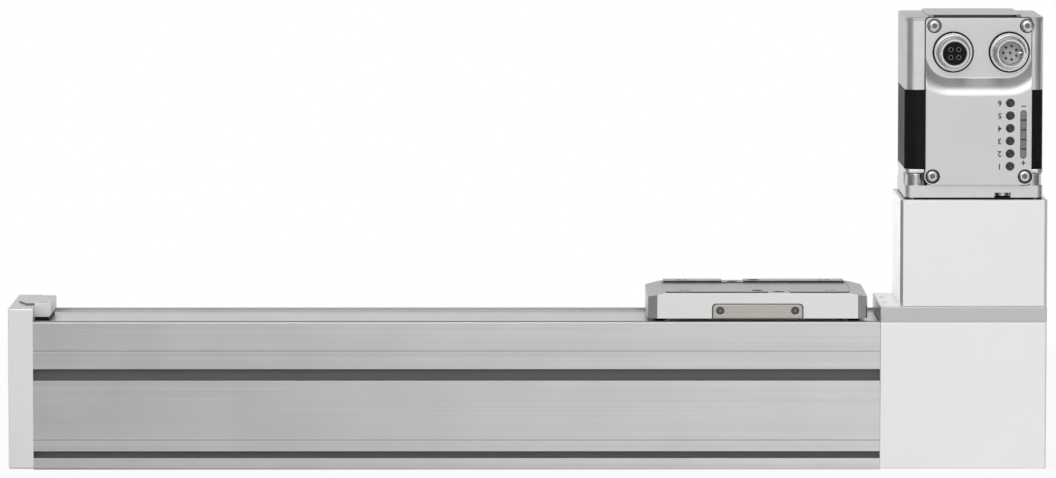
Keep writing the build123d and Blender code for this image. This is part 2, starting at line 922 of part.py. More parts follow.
def strip_screws():
    """Small screws that press the jaws on the strip's ends."""
    tip = roof_top + 2 * small_gap
    screws = []
    places = [(clamp_screw_x(), strip_screw_y, clamp_top - small_head, small_radius + small_head),
              (half_length + cover_screw_x, cover_screw_y, cover_top - small_head,
               small_head_radius)]
    for x, y, seat, head_radius in places:
        screw = socket_screw(small_radius, seat - tip, head_radius, small_head)
        screws += [Pos(x, side * y, seat) * screw for side in (-1, 1)]
    return screws


def profile_screws():
    """Screws that hold the end cap and the drive housing on the profile."""
    screw = socket_screw(m4_radius, profile_screw_length, m4_cap_radius, m4_cap_head)
    screws = []
    for y, z in profile_screw_places():
        screws.append(Pos(cap_screw_seat(), y, z) * Rot(0, -90, 0) * screw)
        screws.append(Pos(housing_screw_seat_x(), y, z) * Rot(0, 90, 0) * screw)
    return screws


def housing_screw_seat_x():
    """Seat of the profile screws inside the drive housing."""
    return half_length + profile_screw_length / 2


# Drive head

def drive_housing():
    """Housing with the pulley chamber, the belt's way in and the lower bearing seat."""
    body = block(half_length, head_end, -head_half, head_half, head_bottom, housing_top)
    body = fillet(body.faces().sort_by(Axis.X)[-1].edges(), cap_fillet)
    body -= rod_z(axis_x, 0, pulley_bottom - belt_slot_margin, housing_top + 1, chamber_radius)
    body -= block(half_length - 1, axis_x, -yoke_inner, yoke_inner, pulley_bottom - running_gap,
                  pulley_top + running_gap)
    body -= rod_z(axis_x, 0, lower_bearing, pulley_bottom, bearing_outer_radius)
    body -= rod_z(axis_x, 0, lower_bearing - shaft_clear, lower_bearing + 1,
                  bearing_inner_radius + shaft_clear)
    recess = strip_width / 2 + strip_fit
    body -= block(half_length - 1, half_length + strip_end_grip + running_gap, -recess, recess,
                  strip_bottom, housing_top + 1)
    for y, z in profile_screw_places():
        body -= rod_x(half_length - 1, head_end + 1, y, z, m4_radius)
        body -= rod_x(housing_screw_seat_x(), head_end + 1, y, z, m4_cap_radius + hole_margin)
    for x, y in housing_screw_places():
        body -= rod_z(x, y, housing_screw_seat - m5_length - hole_margin, housing_top + 1,
                      m5_radius)
    return body


def housing_screw_places():
    """Screws between coupling housing and drive housing, on the diagonals: (x, y)."""
    half = housing_screw_circle / math.sqrt(2)
    return [(axis_x + sx * half, sy * half) for sx in (-1, 1) for sy in (-1, 1)]


def drive_cover():
    """Plate that closes the pulley chamber and seats the upper bearing in its spigot."""
    body = block(half_length, head_end, -head_half, head_half, housing_top, cover_top)
    body += rod_z(axis_x, 0, housing_top - spigot_depth, housing_top, spigot_radius)
    body -= rod_z(axis_x, 0, housing_top - spigot_depth - 1, upper_bearing + bearing_width,
                  bearing_outer_radius)
    body -= rod_z(axis_x, 0, upper_bearing, cover_top + 1, bearing_inner_radius + shaft_clear)
    for x, y in housing_screw_places():
        body -= rod_z(x, y, housing_top - 1, cover_top + 1, m5_radius)
    for side in (-1, 1):
        x = half_length + cover_screw_x
        y = side * cover_screw_y
        body -= rod_z(x, y, housing_top - 1, cover_top + 1, small_radius)
        body -= rod_z(x, y, cover_top - small_head, cover_top + 1, small_head_radius)
    return body


def outer_ring(z0, outer, inner):
    """Outer bearing ring with its two shields, turned as one C section."""
    z1 = z0 + bearing_width
    ring = rod_z(axis_x, 0, z0, z1, outer) - rod_z(axis_x, 0, z0 - 1, z1 + 1, inner + bearing_gap)
    hollow_outer = outer - bearing_ring
    shield = bearing_gap
    hollow = rod_z(axis_x, 0, z0 + shield, z1 - shield, hollow_outer)
    return ring - (hollow - rod_z(axis_x, 0, z0, z1, inner))


def bearing_places():
    """Ball bearings on the drive line: (lower face, outer, inner, bore radius)."""
    return [(lower_bearing, bearing_outer_radius, bearing_inner_radius, drive_shaft_radius),
            (upper_bearing, bearing_outer_radius, bearing_inner_radius, drive_shaft_radius),
            (bell_top - bearing_width, motor_bearing_radius, motor_bearing_inner,
             motor_shaft_radius),
            (housing_start, motor_bearing_radius, motor_bearing_inner, motor_shaft_radius)]


def bearing_outer_rings():
    """Outer rings, fixed in their seats."""
    return [outer_ring(z0, outer, inner) for z0, outer, inner, _ in bearing_places()]


def bearing_inner_rings():
    """Inner rings, turning with the shafts."""
    return [rod_z(axis_x, 0, z0, z0 + bearing_width, inner)
            - rod_z(axis_x, 0, z0 - 1, z0 + bearing_width + 1, bore)
            for z0, _, inner, bore in bearing_places()]


def drive_shaft():
    """Shaft of the drive pulley, up into the lower coupling hub."""
    return rod_z(axis_x, 0, lower_bearing, jaw_start - coupling_gap, drive_shaft_radius)


# Coupling

def ring_sector(z0, z1, inner, outer, middle_angle, width_angle):
    """Part of a ring round the motor axis."""
    start = math.radians(middle_angle - width_angle / 2)
    centre = math.radians(middle_angle)
    stop = math.radians(middle_angle + width_angle / 2)

    def at(radius, angle):
        """Point at a radius and an angle."""
        return (radius * math.cos(angle), radius * math.sin(angle))

    edges = [ThreePointArc(at(outer, start), at(outer, centre), at(outer, stop)),
             Line(at(outer, stop), at(inner, stop)),
             ThreePointArc(at(inner, stop), at(inner, centre), at(inner, start)),
             Line(at(inner, start), at(outer, start))]
    face = make_face(Curve() + edges)
    return Pos(axis_x, 0, z0) * extrude(face, z1 - z0)


def jaw_angles(first):
    """Middle angles of the jaws of one hub."""
    return [first + 360 / jaw_count * i for i in range(jaw_count)]


def coupling_hub(z0, z1, jaw_z0, jaw_z1, first_angle, bore):
    """Coupling hub with jaws."""
    hub = rod_z(axis_x, 0, z0, z1, coupling_radius)
    for angle in jaw_angles(first_angle):
        hub += ring_sector(jaw_z0, jaw_z1, jaw_inner_radius, coupling_radius, angle, jaw_angle)
    return hub - rod_z(axis_x, 0, z0 - 1, z1 + 1, bore)


def coupling_hub_lower():
    """Hub on the drive shaft, jaws up."""
    return coupling_hub(coupling_start, jaw_start, jaw_start, jaw_end - coupling_gap, 0,
                        drive_shaft_radius)


def coupling_hub_upper():
    """Hub on the motor shaft, jaws down."""
    return coupling_hub(jaw_end, jaw_end + hub_length, jaw_start + coupling_gap, jaw_end,
                        180 / jaw_count, motor_shaft_radius)


def coupling_spider():
    """Elastic star between the jaws of both hubs."""
    z0 = jaw_start + coupling_gap / 2
    z1 = jaw_end - coupling_gap / 2
    inner = jaw_inner_radius - coupling_gap
    star = rod_z(axis_x, 0, z0, z1, inner)
    leg = 180 / jaw_count - jaw_angle - jaw_clearance
    for i in range(2 * jaw_count):
        angle = 180 / jaw_count * (i + 0.5)
        star += ring_sector(z0, z1, inner / 2, coupling_radius - coupling_gap, angle, leg)
    return star - rod_z(axis_x, 0, z0 - 1, z1 + 1, motor_shaft_radius / 2)


def coupling_housing():
    """Block round the coupling, screwed on the drive cover and carrying the motor."""
    body = block(axis_x - head_half, head_end, -head_half, head_half, cover_top,
                 coupling_housing_top)
    body = chamfer(body.edges().filter_by(Axis.Z), coupling_chamfer)
    body = chamfer(body.faces().sort_by(Axis.Z)[0].edges(), seam_chamfer)
    body -= rod_z(axis_x, 0, cover_top - 1, coupling_housing_top + 1, coupling_bore)
    body -= rod_z(axis_x, 0, coupling_housing_top - pilot_height, coupling_housing_top + 1,
                  pilot_radius)
    for x, y in housing_screw_places():
        body -= rod_z(x, y, cover_top - 1, coupling_housing_top + 1, m5_radius)
        body -= rod_z(x, y, housing_screw_seat, coupling_housing_top + 1,
                      m5_head_radius + hole_margin)
    for x, y in motor_screw_places():
        body -= rod_z(x, y, flange_top - m5_length - hole_margin, coupling_housing_top + 1,
                      m5_radius)
    return body


def motor_screw_places():
    """Screws at the corners of the motor flange: (x, y)."""
    half = motor_bolt_spacing / 2
    return [(axis_x + sx * half, sy * half) for sx in (-1, 1) for sy in (-1, 1)]


def adapter_screws():
    """Screws of the coupling housing and of the motor flange."""
    screw = socket_screw(m5_radius, m5_length, m5_head_radius, m5_head)
    inner = [Pos(x, y, housing_screw_seat) * screw for x, y in housing_screw_places()]
    outer = [Pos(x, y, flange_top) * screw for x, y in motor_screw_places()]
    return inner + outer + [earth_screw()]


def earth_screw_y():
    """Place of the earth screw across the travel."""
    return -motor_half + earth_screw_inset


def earth_screw():
    """Small screw that stands upside down in the notch of the motor flange."""
    screw = socket_screw(small_radius, earth_screw_length, earth_screw_head_radius,
                         earth_screw_head)
    return Pos(axis_x + notch_x, earth_screw_y(), flange_bottom + notch_height) * Rot(
        180, 0, 0) * screw


# Motor

def flange_gasket():
    """Thin gasket, set back behind the flange's edge."""
    body = square_prism(gasket_side, motor_corner, coupling_housing_top, flange_bottom)
    body -= rod_z(axis_x, 0, coupling_housing_top - 1, flange_bottom + 1, pilot_radius)
    for x, y in motor_screw_places():
        body -= rod_z(x, y, coupling_housing_top - 1, flange_bottom + 1, m5_radius)
    return body


def motor_flange():
    """Front end bell: flange plate, screw pockets at the corners and the front bearing seat."""
    body = square_prism(motor_side, motor_corner, flange_bottom, bell_top)
    pocket = motor_half - motor_bolt_spacing / 2 + m5_head_radius + hole_margin
    for sx in (-1, 1):
        for sy in (-1, 1):
            x0, x1 = sorted((axis_x + sx * motor_half, axis_x + sx * (motor_half - pocket)))
            y0, y1 = sorted((sy * motor_half, sy * (motor_half - pocket)))
            body -= block(x0, x1, y0, y1, flange_top, bell_top - bell_roof)
    body += rod_z(axis_x, 0, coupling_housing_top - pilot_height, flange_bottom,
                  pilot_radius - small_gap)
    body -= rod_z(axis_x, 0, bell_top - bearing_width, bell_top + 1, motor_bearing_radius)
    body -= rod_z(axis_x, 0, coupling_housing_top - pilot_height - 1, bell_top,
                  motor_bearing_inner + shaft_clear)
    for x, y in motor_screw_places():
        body -= rod_z(x, y, flange_bottom - 1, flange_top + 1, m5_radius)
    body -= block(axis_x + notch_x - notch_width / 2, axis_x + notch_x + notch_width / 2,
                  -motor_half - 1, -motor_half + notch_width, flange_bottom - 1,
                  flange_bottom + notch_height)
    body -= rod_z(axis_x + notch_x, earth_screw_y(), flange_bottom,
                  flange_bottom + notch_height + earth_screw_length + hole_margin, small_radius)
    for x, z in panel_screws_low:
        body -= rod_y(axis_x + x, -motor_half - 1, bay_face + panel_screw_short + hole_margin, z,
                      panel_screw_radius)
    return body


def stator():
    """Laminated stator pack with cut corners and a round bore."""
    body = block(axis_x - motor_half, axis_x + motor_half, -motor_half, motor_half, bell_top,
                 stator_top)
    body = chamfer(body.edges().filter_by(Axis.Z), stator_corner)
    return body - rod_z(axis_x, 0, bell_top - 1, stator_top + 1, stator_bore)


def rotor():
    """Rotor pack on the motor shaft."""
    z0 = bell_top + rotor_end_gap
    z1 = stator_top - rotor_end_gap
    return rod_z(axis_x, 0, z0, z1, stator_bore - air_gap) - rod_z(axis_x, 0, z0 - 1, z1 + 1,
                                                                  motor_shaft_radius)


def motor_shaft():
    """Motor shaft from the upper coupling hub through both bearings."""
    return rod_z(axis_x, 0, jaw_end, housing_start + bearing_width + shaft_clear,
                 motor_shaft_radius)


# Electronics housing and lid

def electronics_housing():
    """Shell for the motor electronics with the rear bearing seat in its floor."""
    z0 = housing_start
    z1 = housing_end
    body = square_prism(motor_side, housing_corner, z0, z1)
    body -= square_prism(motor_side - 2 * housing_wall, housing_corner - housing_wall / 2,
                         z0 + housing_floor, z1 + 1)
    for x, z in panel_screws_high:
        boss = rod_y(axis_x + x, -motor_half + housing_wall / 2, bay_face + panel_screw_length + 1,
                     z, panel_screw_radius + 1)
        body += boss & square_prism(motor_side - 1, housing_corner, z0, z1)
        body -= rod_y(axis_x + x, -motor_half - 1, bay_face + panel_screw_length, z,
                      panel_screw_radius)
    for x in (power_x, signal_x):
        body -= rod_y(axis_x + x, -motor_half - 1, -motor_half + 2 * housing_wall,
                      connector_height, connector_tail_radius)
    body -= rod_z(axis_x, 0, z0 - 1, z0 + bearing_width, motor_bearing_radius)
    body -= rod_z(axis_x, 0, z0, z0 + housing_floor + 1, motor_bearing_inner + shaft_clear)
    return body


def housing_lid():
    """Lid with a low raised field and a rim that drops into the housing."""
    z0 = housing_end
    body = square_prism(motor_side, housing_corner, z0, z0 + lid_edge)
    field = Pos(axis_x + lid_raised_x, 0, z0 + lid_edge) * extrude(
        RectangleRounded(lid_raised_length, motor_side - 2 * housing_wall, housing_corner),
        lid_thickness - lid_edge)
    rim_side = motor_side - 2 * housing_wall - 2 * running_gap
    rim = square_prism(rim_side, housing_corner - housing_wall / 2, z0 - lid_edge, z0)
    rim -= square_prism(rim_side - 2 * housing_wall, housing_corner - housing_wall, z0 - 2, z0)
    keep = block(axis_x - motor_half, axis_x + motor_half, -motor_half + 3 * housing_wall,
                 motor_half, z0 - lid_edge, z0)
    return body + field + (rim & keep)


def circuit_boards():
    """Main board in the housing and the key board behind the front panel."""
    half = motor_half - housing_wall - running_gap - board_thickness
    z0 = housing_start + housing_floor
    main = block(axis_x - half, axis_x + half, board_y, board_y + board_thickness, z0,
                 z0 + board_height)
    return [main, key_board(-motor_half - board_thickness / 2, -motor_half, 0)]


# Front panel and keys

def key_board(y0, y1, gap):
    """Board behind the keys and the level bar, or the pocket for it with a gap all round."""
    x = axis_x + key_x
    side = key_flange_radius + key_board_edge + gap
    body = block(x - side, x + side, y0, y1, key_low() - side, key_top + side)
    edge = window_width / 2 + key_board_edge + gap
    window = axis_x + window_x
    return body + block(x, window + edge, y0, y1, window_low - edge + window_width / 2,
                        window_high + edge - window_width / 2)


def key_low():
    """Height of the lowest key."""
    return key_top - key_pitch * (key_count - 1)


def key_heights():
    """Heights of the push keys, the highest first."""
    return [key_top - key_pitch * i for i in range(key_count)]


def panel_outline():
    """Front view of the panel."""
    left = axis_x + panel_left
    right = axis_x + panel_right
    plate = Pos((left + right) / 2, (lug_z + panel_top) / 2) * Rectangle(right - left,
                                                                         panel_top - lug_z)
    plate = fillet(plate.vertices().group_by(Axis.Y)[-1], panel_corner)
    low_left = axis_x + panel_screws_low[0][0]
    low_right = axis_x + panel_screws_low[1][0]
    plate += Pos((low_left + low_right) / 2, (panel_bottom + lug_z) / 2) * Rectangle(
        low_right - low_left, lug_z - panel_bottom)
    for x, z in panel_screws_low:
        plate += Pos(axis_x + x, z) * Circle(lug_radius)
    return plate


def bay_edges(body, y, bottom):
    """Lower edges of the connector bay in one plane, its corners included."""
    level = body.edges().filter_by_position(Axis.Y, y - eps, y + eps)
    return level.filter_by_position(Axis.Z, bottom - eps, bottom + bay_corner / 2)


def front_panel():
    """Cover over stator and electronics with a connector bay and holes for the keys."""
    back = Plane.XZ.offset(motor_half)
    body = extrude(back * panel_outline(), panel_thin + panel_rise)
    bay_left = axis_x + panel_left
    bay_right = axis_x + panel_right
    bay = Pos((bay_left + bay_right) / 2, panel_top) * RectangleRounded(
        bay_right - bay_left, 2 * bay_height, bay_corner)
    slope = math.degrees(math.atan2(bay_slope, panel_rise))
    body -= extrude(Plane.XZ.offset(-bay_face) * bay, panel_rise + eps, taper=-slope)
    body = fillet(bay_edges(body, panel_face, bay_bottom - bay_slope), bay_brow)
    body = fillet(bay_edges(body, bay_face, bay_bottom), bay_foot)
    for x in (power_x, signal_x):
        body -= rod_y(axis_x + x, panel_face - 1, -motor_half + 1, connector_height,
                      connector_recess)
    for x, z in panel_screws_low + panel_screws_high:
        body -= rod_y(axis_x + x, panel_face - 1, -motor_half + 1, z, panel_screw_radius)
        body -= rod_y(axis_x + x, panel_face - 1, bay_face, z, washer_recess)
    for z in key_heights():
        body -= rod_y(axis_x + key_x, panel_face - 1, -motor_half + 1, z, key_radius + key_fit)
    width = window_width / 2 + window_fit
    body -= window_slot(width, panel_face - 1, -motor_half + 1)
    body -= key_board(panel_face + key_skin, -motor_half + 1, running_gap / 2)
    return body


def window_slot(half_width_of_slot, y0, y1):
    """Upright slot with round ends in the front panel."""
    low = window_low + window_width / 2
    high = window_high - window_width / 2
    x = axis_x + window_x
    body = block(x - half_width_of_slot, x + half_width_of_slot, y0, y1, low, high)
    return body + rod_y(x, y0, y1, low, half_width_of_slot) + rod_y(x, y0, y1, high,
                                                                    half_width_of_slot)


def level_window():
    """Light guide of the level bar."""
    return window_slot(window_width / 2, panel_face, -motor_half - board_thickness / 2)


def key(z):
    """One push key: cap, retaining flange behind the panel and stem."""
    x = axis_x + key_x
    flange_y = panel_face + key_skin + running_gap / 2
    stem_end = -motor_half - board_thickness / 2 - key_travel - key_clear
    cap = rod_y(x, panel_face - key_proud, flange_y, z, key_radius)
    flange = rod_y(x, flange_y, flange_y + key_flange, z, key_flange_radius)
    stem = rod_y(x, flange_y, stem_end, z, key_radius / 2)
    return cap + flange + stem


def panel_screws():
    """Screws of the front panel."""
    screws = []
    for length, places in ((panel_screw_short, panel_screws_low),
                           (panel_screw_length, panel_screws_high)):
        screw = socket_screw(panel_screw_radius, length, panel_head_radius, panel_head)
        screws += [Pos(axis_x + x, bay_face, z) * Rot(90, 0, 0) * screw for x, z in places]
    return screws


# Connectors

def connector_shell(x):
    """Metal shell of a round connector: flange, threaded barrel and tail in the housing."""
    x_mid = axis_x + x
    flange_y = -motor_half - connector_flange
    front = flange_y - barrel_length + connector_flange
    body = rod_y(x_mid, flange_y, -motor_half, connector_height, connector_flange_radius)
    body += rod_y(x_mid, front, flange_y, connector_height, barrel_radius)
    body += rod_y(x_mid, -motor_half, -motor_half + connector_tail, connector_height,
                  connector_tail_radius)
    return body - rod_y(x_mid, front - 1, -motor_half + connector_tail + 1, connector_height,
                        socket_bore)


def connector_front():
    """Front edge of both barrels."""
    return -motor_half - barrel_length


def power_socket_insert():
    """Insert with four contact holes, almost flush with the barrel."""
    x_mid = axis_x + power_x
    front = connector_front() + insert_recess
    body = rod_y(x_mid, front, -motor_half + connector_tail, connector_height,
                 socket_bore - insert_fit)
    for i in range(4):
        angle = math.radians(45 + 90 * i)
        body -= rod_y(x_mid + contact_circle * math.cos(angle), front - 1, front + pin_length,
                      connector_height + contact_circle * math.sin(angle), contact_radius)
    return body


def signal_socket_insert():
    """Insert deep in the barrel with a centre pin and a ring of pins."""
    x_mid = axis_x + signal_x
    floor_y = -motor_half - connector_flange - 1
    body = rod_y(x_mid, floor_y, -motor_half + connector_tail, connector_height,
                 socket_bore - insert_fit)
    places = [(0, 0)]
    for i in range(pin_count):
        angle = math.radians(360 / pin_count * (i + 0.5))
        places.append((pin_circle * math.cos(angle), pin_circle * math.sin(angle)))
    for dx, dz in places:
        body += rod_y(x_mid + dx, floor_y - pin_length, floor_y + 1, connector_height + dz,
                      pin_radius)
    return body


# Slide

def bracket_tooth_places():
    """Belt teeth that lie inside the clamp: x."""
    first = math.floor((axis_x - slide_x - clamp_length / 2) / belt_pitch)
    last = math.ceil((axis_x - slide_x + clamp_length / 2) / belt_pitch)
    return [axis_x - belt_pitch * i for i in range(first, last + 1)]


def clamp_plate_front():
    """Face of the clamp plate that lies on the belt's back."""
    return -(belt_outer + small_gap)


def clamp_screw_z():
    """Height of the belt clamp's screws, above the belt."""
    return roof_bottom - running_gap - clamp_screw_rim - m3_head_radius


def clamp_screw_places():
    """Belt clamp screws: x."""
    start = slide_x - clamp_screw_pitch * (clamp_screw_count - 1) / 2
    return [start + clamp_screw_pitch * i for i in range(clamp_screw_count)]


def flange_screw_places():
    """Screws between the bracket's flange and the slide: (x, y)."""
    y = bracket_flange_width / 2 - m3_head_radius - flange_screw_rim
    return [(slide_x + sx * flange_screw_spacing / 2, sy * y)
            for sx in (-1, 1) for sy in (-1, 1)]


def slide_bracket():
    """Bracket from the carriage through the roof opening to the slide, with a toothed seat."""
    half = bracket_length / 2
    neck = bracket_neck_width / 2
    flange_z = slide_bottom + flange_lift
    flange_x = bracket_flange_length / 2
    flange_y = bracket_flange_width / 2
    body = block(slide_x - half, slide_x + half, -bracket_base_width / 2, bracket_base_width / 2,
                 carriage_top, bracket_base_top)
    body += block(slide_x - half, slide_x + half, -neck, neck, carriage_top, bracket_flange_top)
    body += block(slide_x - flange_x, slide_x + flange_x, -flange_y, flange_y, flange_z,
                  bracket_flange_top)
    clamp_half = clamp_length / 2
    seat = -(pulley_radius - land_clearance / 2)
    body += block(slide_x - clamp_half, slide_x + clamp_half, seat, -neck,
                  belt_bottom - belt_side_gap, belt_top + belt_side_gap)
    body += block(slide_x - clamp_half, slide_x + clamp_half, clamp_plate_front(), -neck,
                  belt_top + belt_side_gap, roof_bottom - running_gap)
    root = belt_tooth_root / 2 + tooth_clearance
    tip = belt_tooth_tip / 2 + tooth_clearance
    depth = seat + belt_tooth_height + tooth_clearance
    for x in bracket_tooth_places():
        space = make_face(Polyline((x - root, seat), (x - tip, depth), (x + tip, depth),
                                   (x + root, seat), close=True))
        body -= Pos(0, 0, belt_bottom - belt_side_gap) * extrude(space,
                                                                 belt_width + 2 * belt_side_gap)
    for x, y in carriage_screw_places():
        body -= rod_z(x, y, carriage_top - 1, bracket_base_top + 1, m4_radius)
        body -= Pos(x, y, bracket_base_top) * sink(m4_radius, m4_head_radius)
    for x, y in flange_screw_places():
        body -= rod_z(x, y, flange_z - 1, bracket_flange_top + 1, m3_radius)
        body -= Pos(x, y, flange_z) * Rot(180, 0, 0) * sink(m3_radius, m3_head_radius)
    for x in clamp_screw_places():
        body -= rod_y(x, clamp_plate_front() - 1, clamp_plate_front() - clamp_thickness
                      + m3_length + hole_margin, clamp_screw_z(), m3_radius)
    return body


def belt_clamp():
    """Plate that presses the belt's back against the toothed seat."""
    half = clamp_length / 2
    front = clamp_plate_front()
    body = block(slide_x - half, slide_x + half, front - clamp_thickness, front,
                 bracket_base_top + running_gap, roof_bottom - running_gap)
    for x in clamp_screw_places():
        body -= rod_y(x, front - clamp_thickness - 1, front + 1, clamp_screw_z(), m3_radius)
        body -= Pos(x, front - clamp_thickness, clamp_screw_z()) * Rot(90, 0, 0) * sink(
            m3_radius, m3_head_radius)
    return body


def carriage_screws():
    """Countersunk screws of the bracket, the slide and the belt clamp."""
    m4 = flat_screw(m4_radius, m4_length, m4_head_radius)
    m3 = flat_screw(m3_radius, m3_length, m3_head_radius)
    screws = [Pos(x, y, bracket_base_top) * m4 for x, y in carriage_screw_places()]
    screws += [Pos(x, y, slide_bottom + flange_lift) * Rot(180, 0, 0) * m3
               for x, y in flange_screw_places()]
    front = clamp_plate_front() - clamp_thickness
    screws += [Pos(x, front, clamp_screw_z()) * Rot(90, 0, 0) * m3 for x in clamp_screw_places()]
    return screws


def switch_magnet():
    """Magnet on the bracket that a sensor in the side slot sees."""
    half = switch_magnet_length / 2
    return block(slide_x - half, slide_x + half, sensor_gap - cavity_half,
                 -bracket_base_width / 2, carriage_top, bracket_base_top)


def slide_plan():
    """Outline of the slide seen from above, with cut corners."""
    plan = Rectangle(slide_length, slide_width)
    return Pos(slide_x, 0) * fillet(plan.vertices(), slide_corner)


def slide_body():
    """Aluminium slide: raised ribs, sloped ends, strip tunnel and mounting holes."""
    body = Pos(0, 0, slide_bottom) * extrude(slide_plan(), rib_top - slide_bottom)
    body = body & slide_side_view()
    body -= rib_cuts()
    body -= block(slide_x - slide_length / 2 + slide_end_wall,
                  slide_x + slide_length / 2 - slide_end_wall, -tunnel_half_width,
                  tunnel_half_width, slide_bottom - 1, tunnel_top)
    flange_x = bracket_flange_length / 2 + running_gap
    flange_y = bracket_flange_width / 2 + running_gap
    body -= block(slide_x - flange_x, slide_x + flange_x, -flange_y, flange_y, slide_bottom - 1,
                  bracket_flange_top)
    for x, y in mount_places():
        body -= rod_z(x, y, slide_bottom - 1, rib_top + 1, mount_thread_radius)
    for side in (-1, 1):
        y = side * mount_hole_spacing_y / 2
        body -= rod_z(slide_x, y, rib_top - centring_depth, rib_top + 1, centring_radius)
        body -= plate_pocket(side)
    for x, y in adjuster_places():
        body -= rod_z(x, y, adjuster_top() - adjuster_depth, rib_top + 1, adjuster_radius)
    for x, y in flange_screw_places():
        body -= rod_z(x, y, slide_bottom, slide_bottom + flange_lift + m3_length + hole_margin,
                      m3_radius)
    for x, y, z in plate_screw_places():
        inner = math.copysign(slide_width / 2 - plate_thickness - small_head, y)
        y0, y1 = sorted((inner, y))
        body -= rod_y(x, y0, y1, z, small_radius)
    return body


def slide_side_view():
    """Side view of the slide: flat top with both ends sloping down."""
    half = slide_length / 2
    flat = rib_half_length
    low = slide_top - slide_slope
    points = [(-half, slide_bottom), (half, slide_bottom), (half, low), (flat, slide_top),
              (flat, rib_top), (-flat, rib_top), (-flat, slide_top), (-half, low)]
    face = make_face(Polyline(*[(slide_x + x, z) for x, z in points], close=True))
    return extrude(Plane.XZ.offset(-slide_width / 2) * face, slide_width)


def rib_cuts():
    """Material taken off round the two ribs and in their gaps."""
    reach = rib_half_length + 1
    cuts = [block(slide_x - reach, slide_x + reach, -rib_inner, rib_inner, slide_top - centre_drop,
                  rib_top + 1)]
    for side in (-1, 1):
        y0, y1 = sorted((side * rib_outer, side * slide_width))
        cuts.append(block(slide_x - reach, slide_x + reach, y0, y1, slide_top, rib_top + 1))
        gap_x = slide_x - side * rib_gap_offset
        y0, y1 = sorted((side * (rib_inner - 1), side * slide_width))
        cuts.append(block(gap_x - rib_gap / 2, gap_x + rib_gap / 2, y0, y1, slide_top,
                          rib_top + 1))
    return cuts


def mount_places():
    """Threaded holes for the load: (x, y)."""
    return [(slide_x + sx * mount_hole_spacing_x / 2, sy * mount_hole_spacing_y / 2)
            for sx in (-1, 1) for sy in (-1, 1)]


def adjuster_places():
    """Screws in the gaps of the ribs: (x, y)."""
    return [(slide_x - side * rib_gap_offset, side * mount_hole_spacing_y / 2)
            for side in (-1, 1)]


def adjuster_top():
    """Top of the screws in the rib gaps."""
    return slide_top - running_gap


def adjusting_screws():
    """Set screws in the gaps of the ribs."""
    key = RegularPolygon(adjuster_radius * hex_share, 6)
    depth = adjuster_radius * hex_share
    screw = rod_z(0, 0, running_gap - adjuster_depth, 0, adjuster_radius)
    screw -= Pos(0, 0, -depth) * extrude(key, 2 * depth)
    return [Pos(x, y, adjuster_top()) * screw for x, y in adjuster_places()]


def plate_pocket(side):
    """Pocket for a side plate, open at the slide's lower edge."""
    half = plate_length / 2 + plate_gap
    y0, y1 = sorted((side * (slide_width / 2 - plate_thickness), side * slide_width))
    top = slide_bottom + plate_height + plate_gap
    pocket = block(slide_x - half, slide_x + half, y0, y1, slide_bottom - 1, top)
    upper = pocket.edges().filter_by(Axis.Y).group_by(Axis.Z)[-1]
    return fillet(upper, plate_corner + plate_gap)


def plate_screw_places():
    """Screws of the side plates: (x, y of the plate's face, z)."""
    z = slide_bottom + plate_height / 2 + running_gap
    return [(slide_x + sx * plate_screw_spacing / 2, sy * slide_width / 2, z)
            for sx in (-1, 1) for sy in (-1, 1)]


def slide_plates():
    """Stainless plates on both sides of the slide."""
    plates = []
    for side in (-1, 1):
        y0, y1 = sorted((side * (slide_width / 2 - plate_thickness), side * slide_width / 2))
        half = plate_length / 2
        plate = block(slide_x - half, slide_x + half, y0, y1, slide_bottom + eps,
                      slide_bottom + plate_height)
        plate = fillet(plate.edges().filter_by(Axis.Y).group_by(Axis.Z)[-1], plate_corner)
        for x, y, z in plate_screw_places():
            plate -= rod_y(x, y - 2 * plate_thickness, y + 2 * plate_thickness, z, small_radius)
            outer, inner = y, math.copysign(abs(y) - small_head, y)
            plate -= rod_y(x, min(outer, inner), max(outer, inner), z, small_head_radius)
        plates.append(plate)
    return plates


def slide_plate_screws():
    """Screws that hold the side plates."""
    length = plate_thickness
    screw = socket_screw(small_radius, length, small_head_radius, small_head)
    screws = []
    for x, y, z in plate_screw_places():
        turn = 90 if y < 0 else -90
        seat = math.copysign(abs(y) - small_head, y)
        screws.append(Pos(x, seat, z) * Rot(turn, 0, 0) * screw)
    return screws


def strip_guides():
    """Plastic guides inside the slide's ends that press the strip back on the magnets."""
    guides = []
    foot = bracket_flange_length / 2 + ramp_gap + ramp_length
    inner_end = slide_length / 2 - slide_end_wall
    radius = (ramp_length ** 2 + strip_lift ** 2) / (4 * strip_lift)
    start = inner_end - strip_guide_length
    rise_here = max(foot - start, 0) ** 2 / (2 * radius)
    bottom = roof_top + rise_here + running_gap
    half = tunnel_half_width - running_gap
    for side in (-1, 1):
        x0, x1 = sorted((slide_x + side * start, slide_x + side * inner_end))
        guides.append(block(x0, x1, -half, half, bottom, tunnel_top))
    return guides


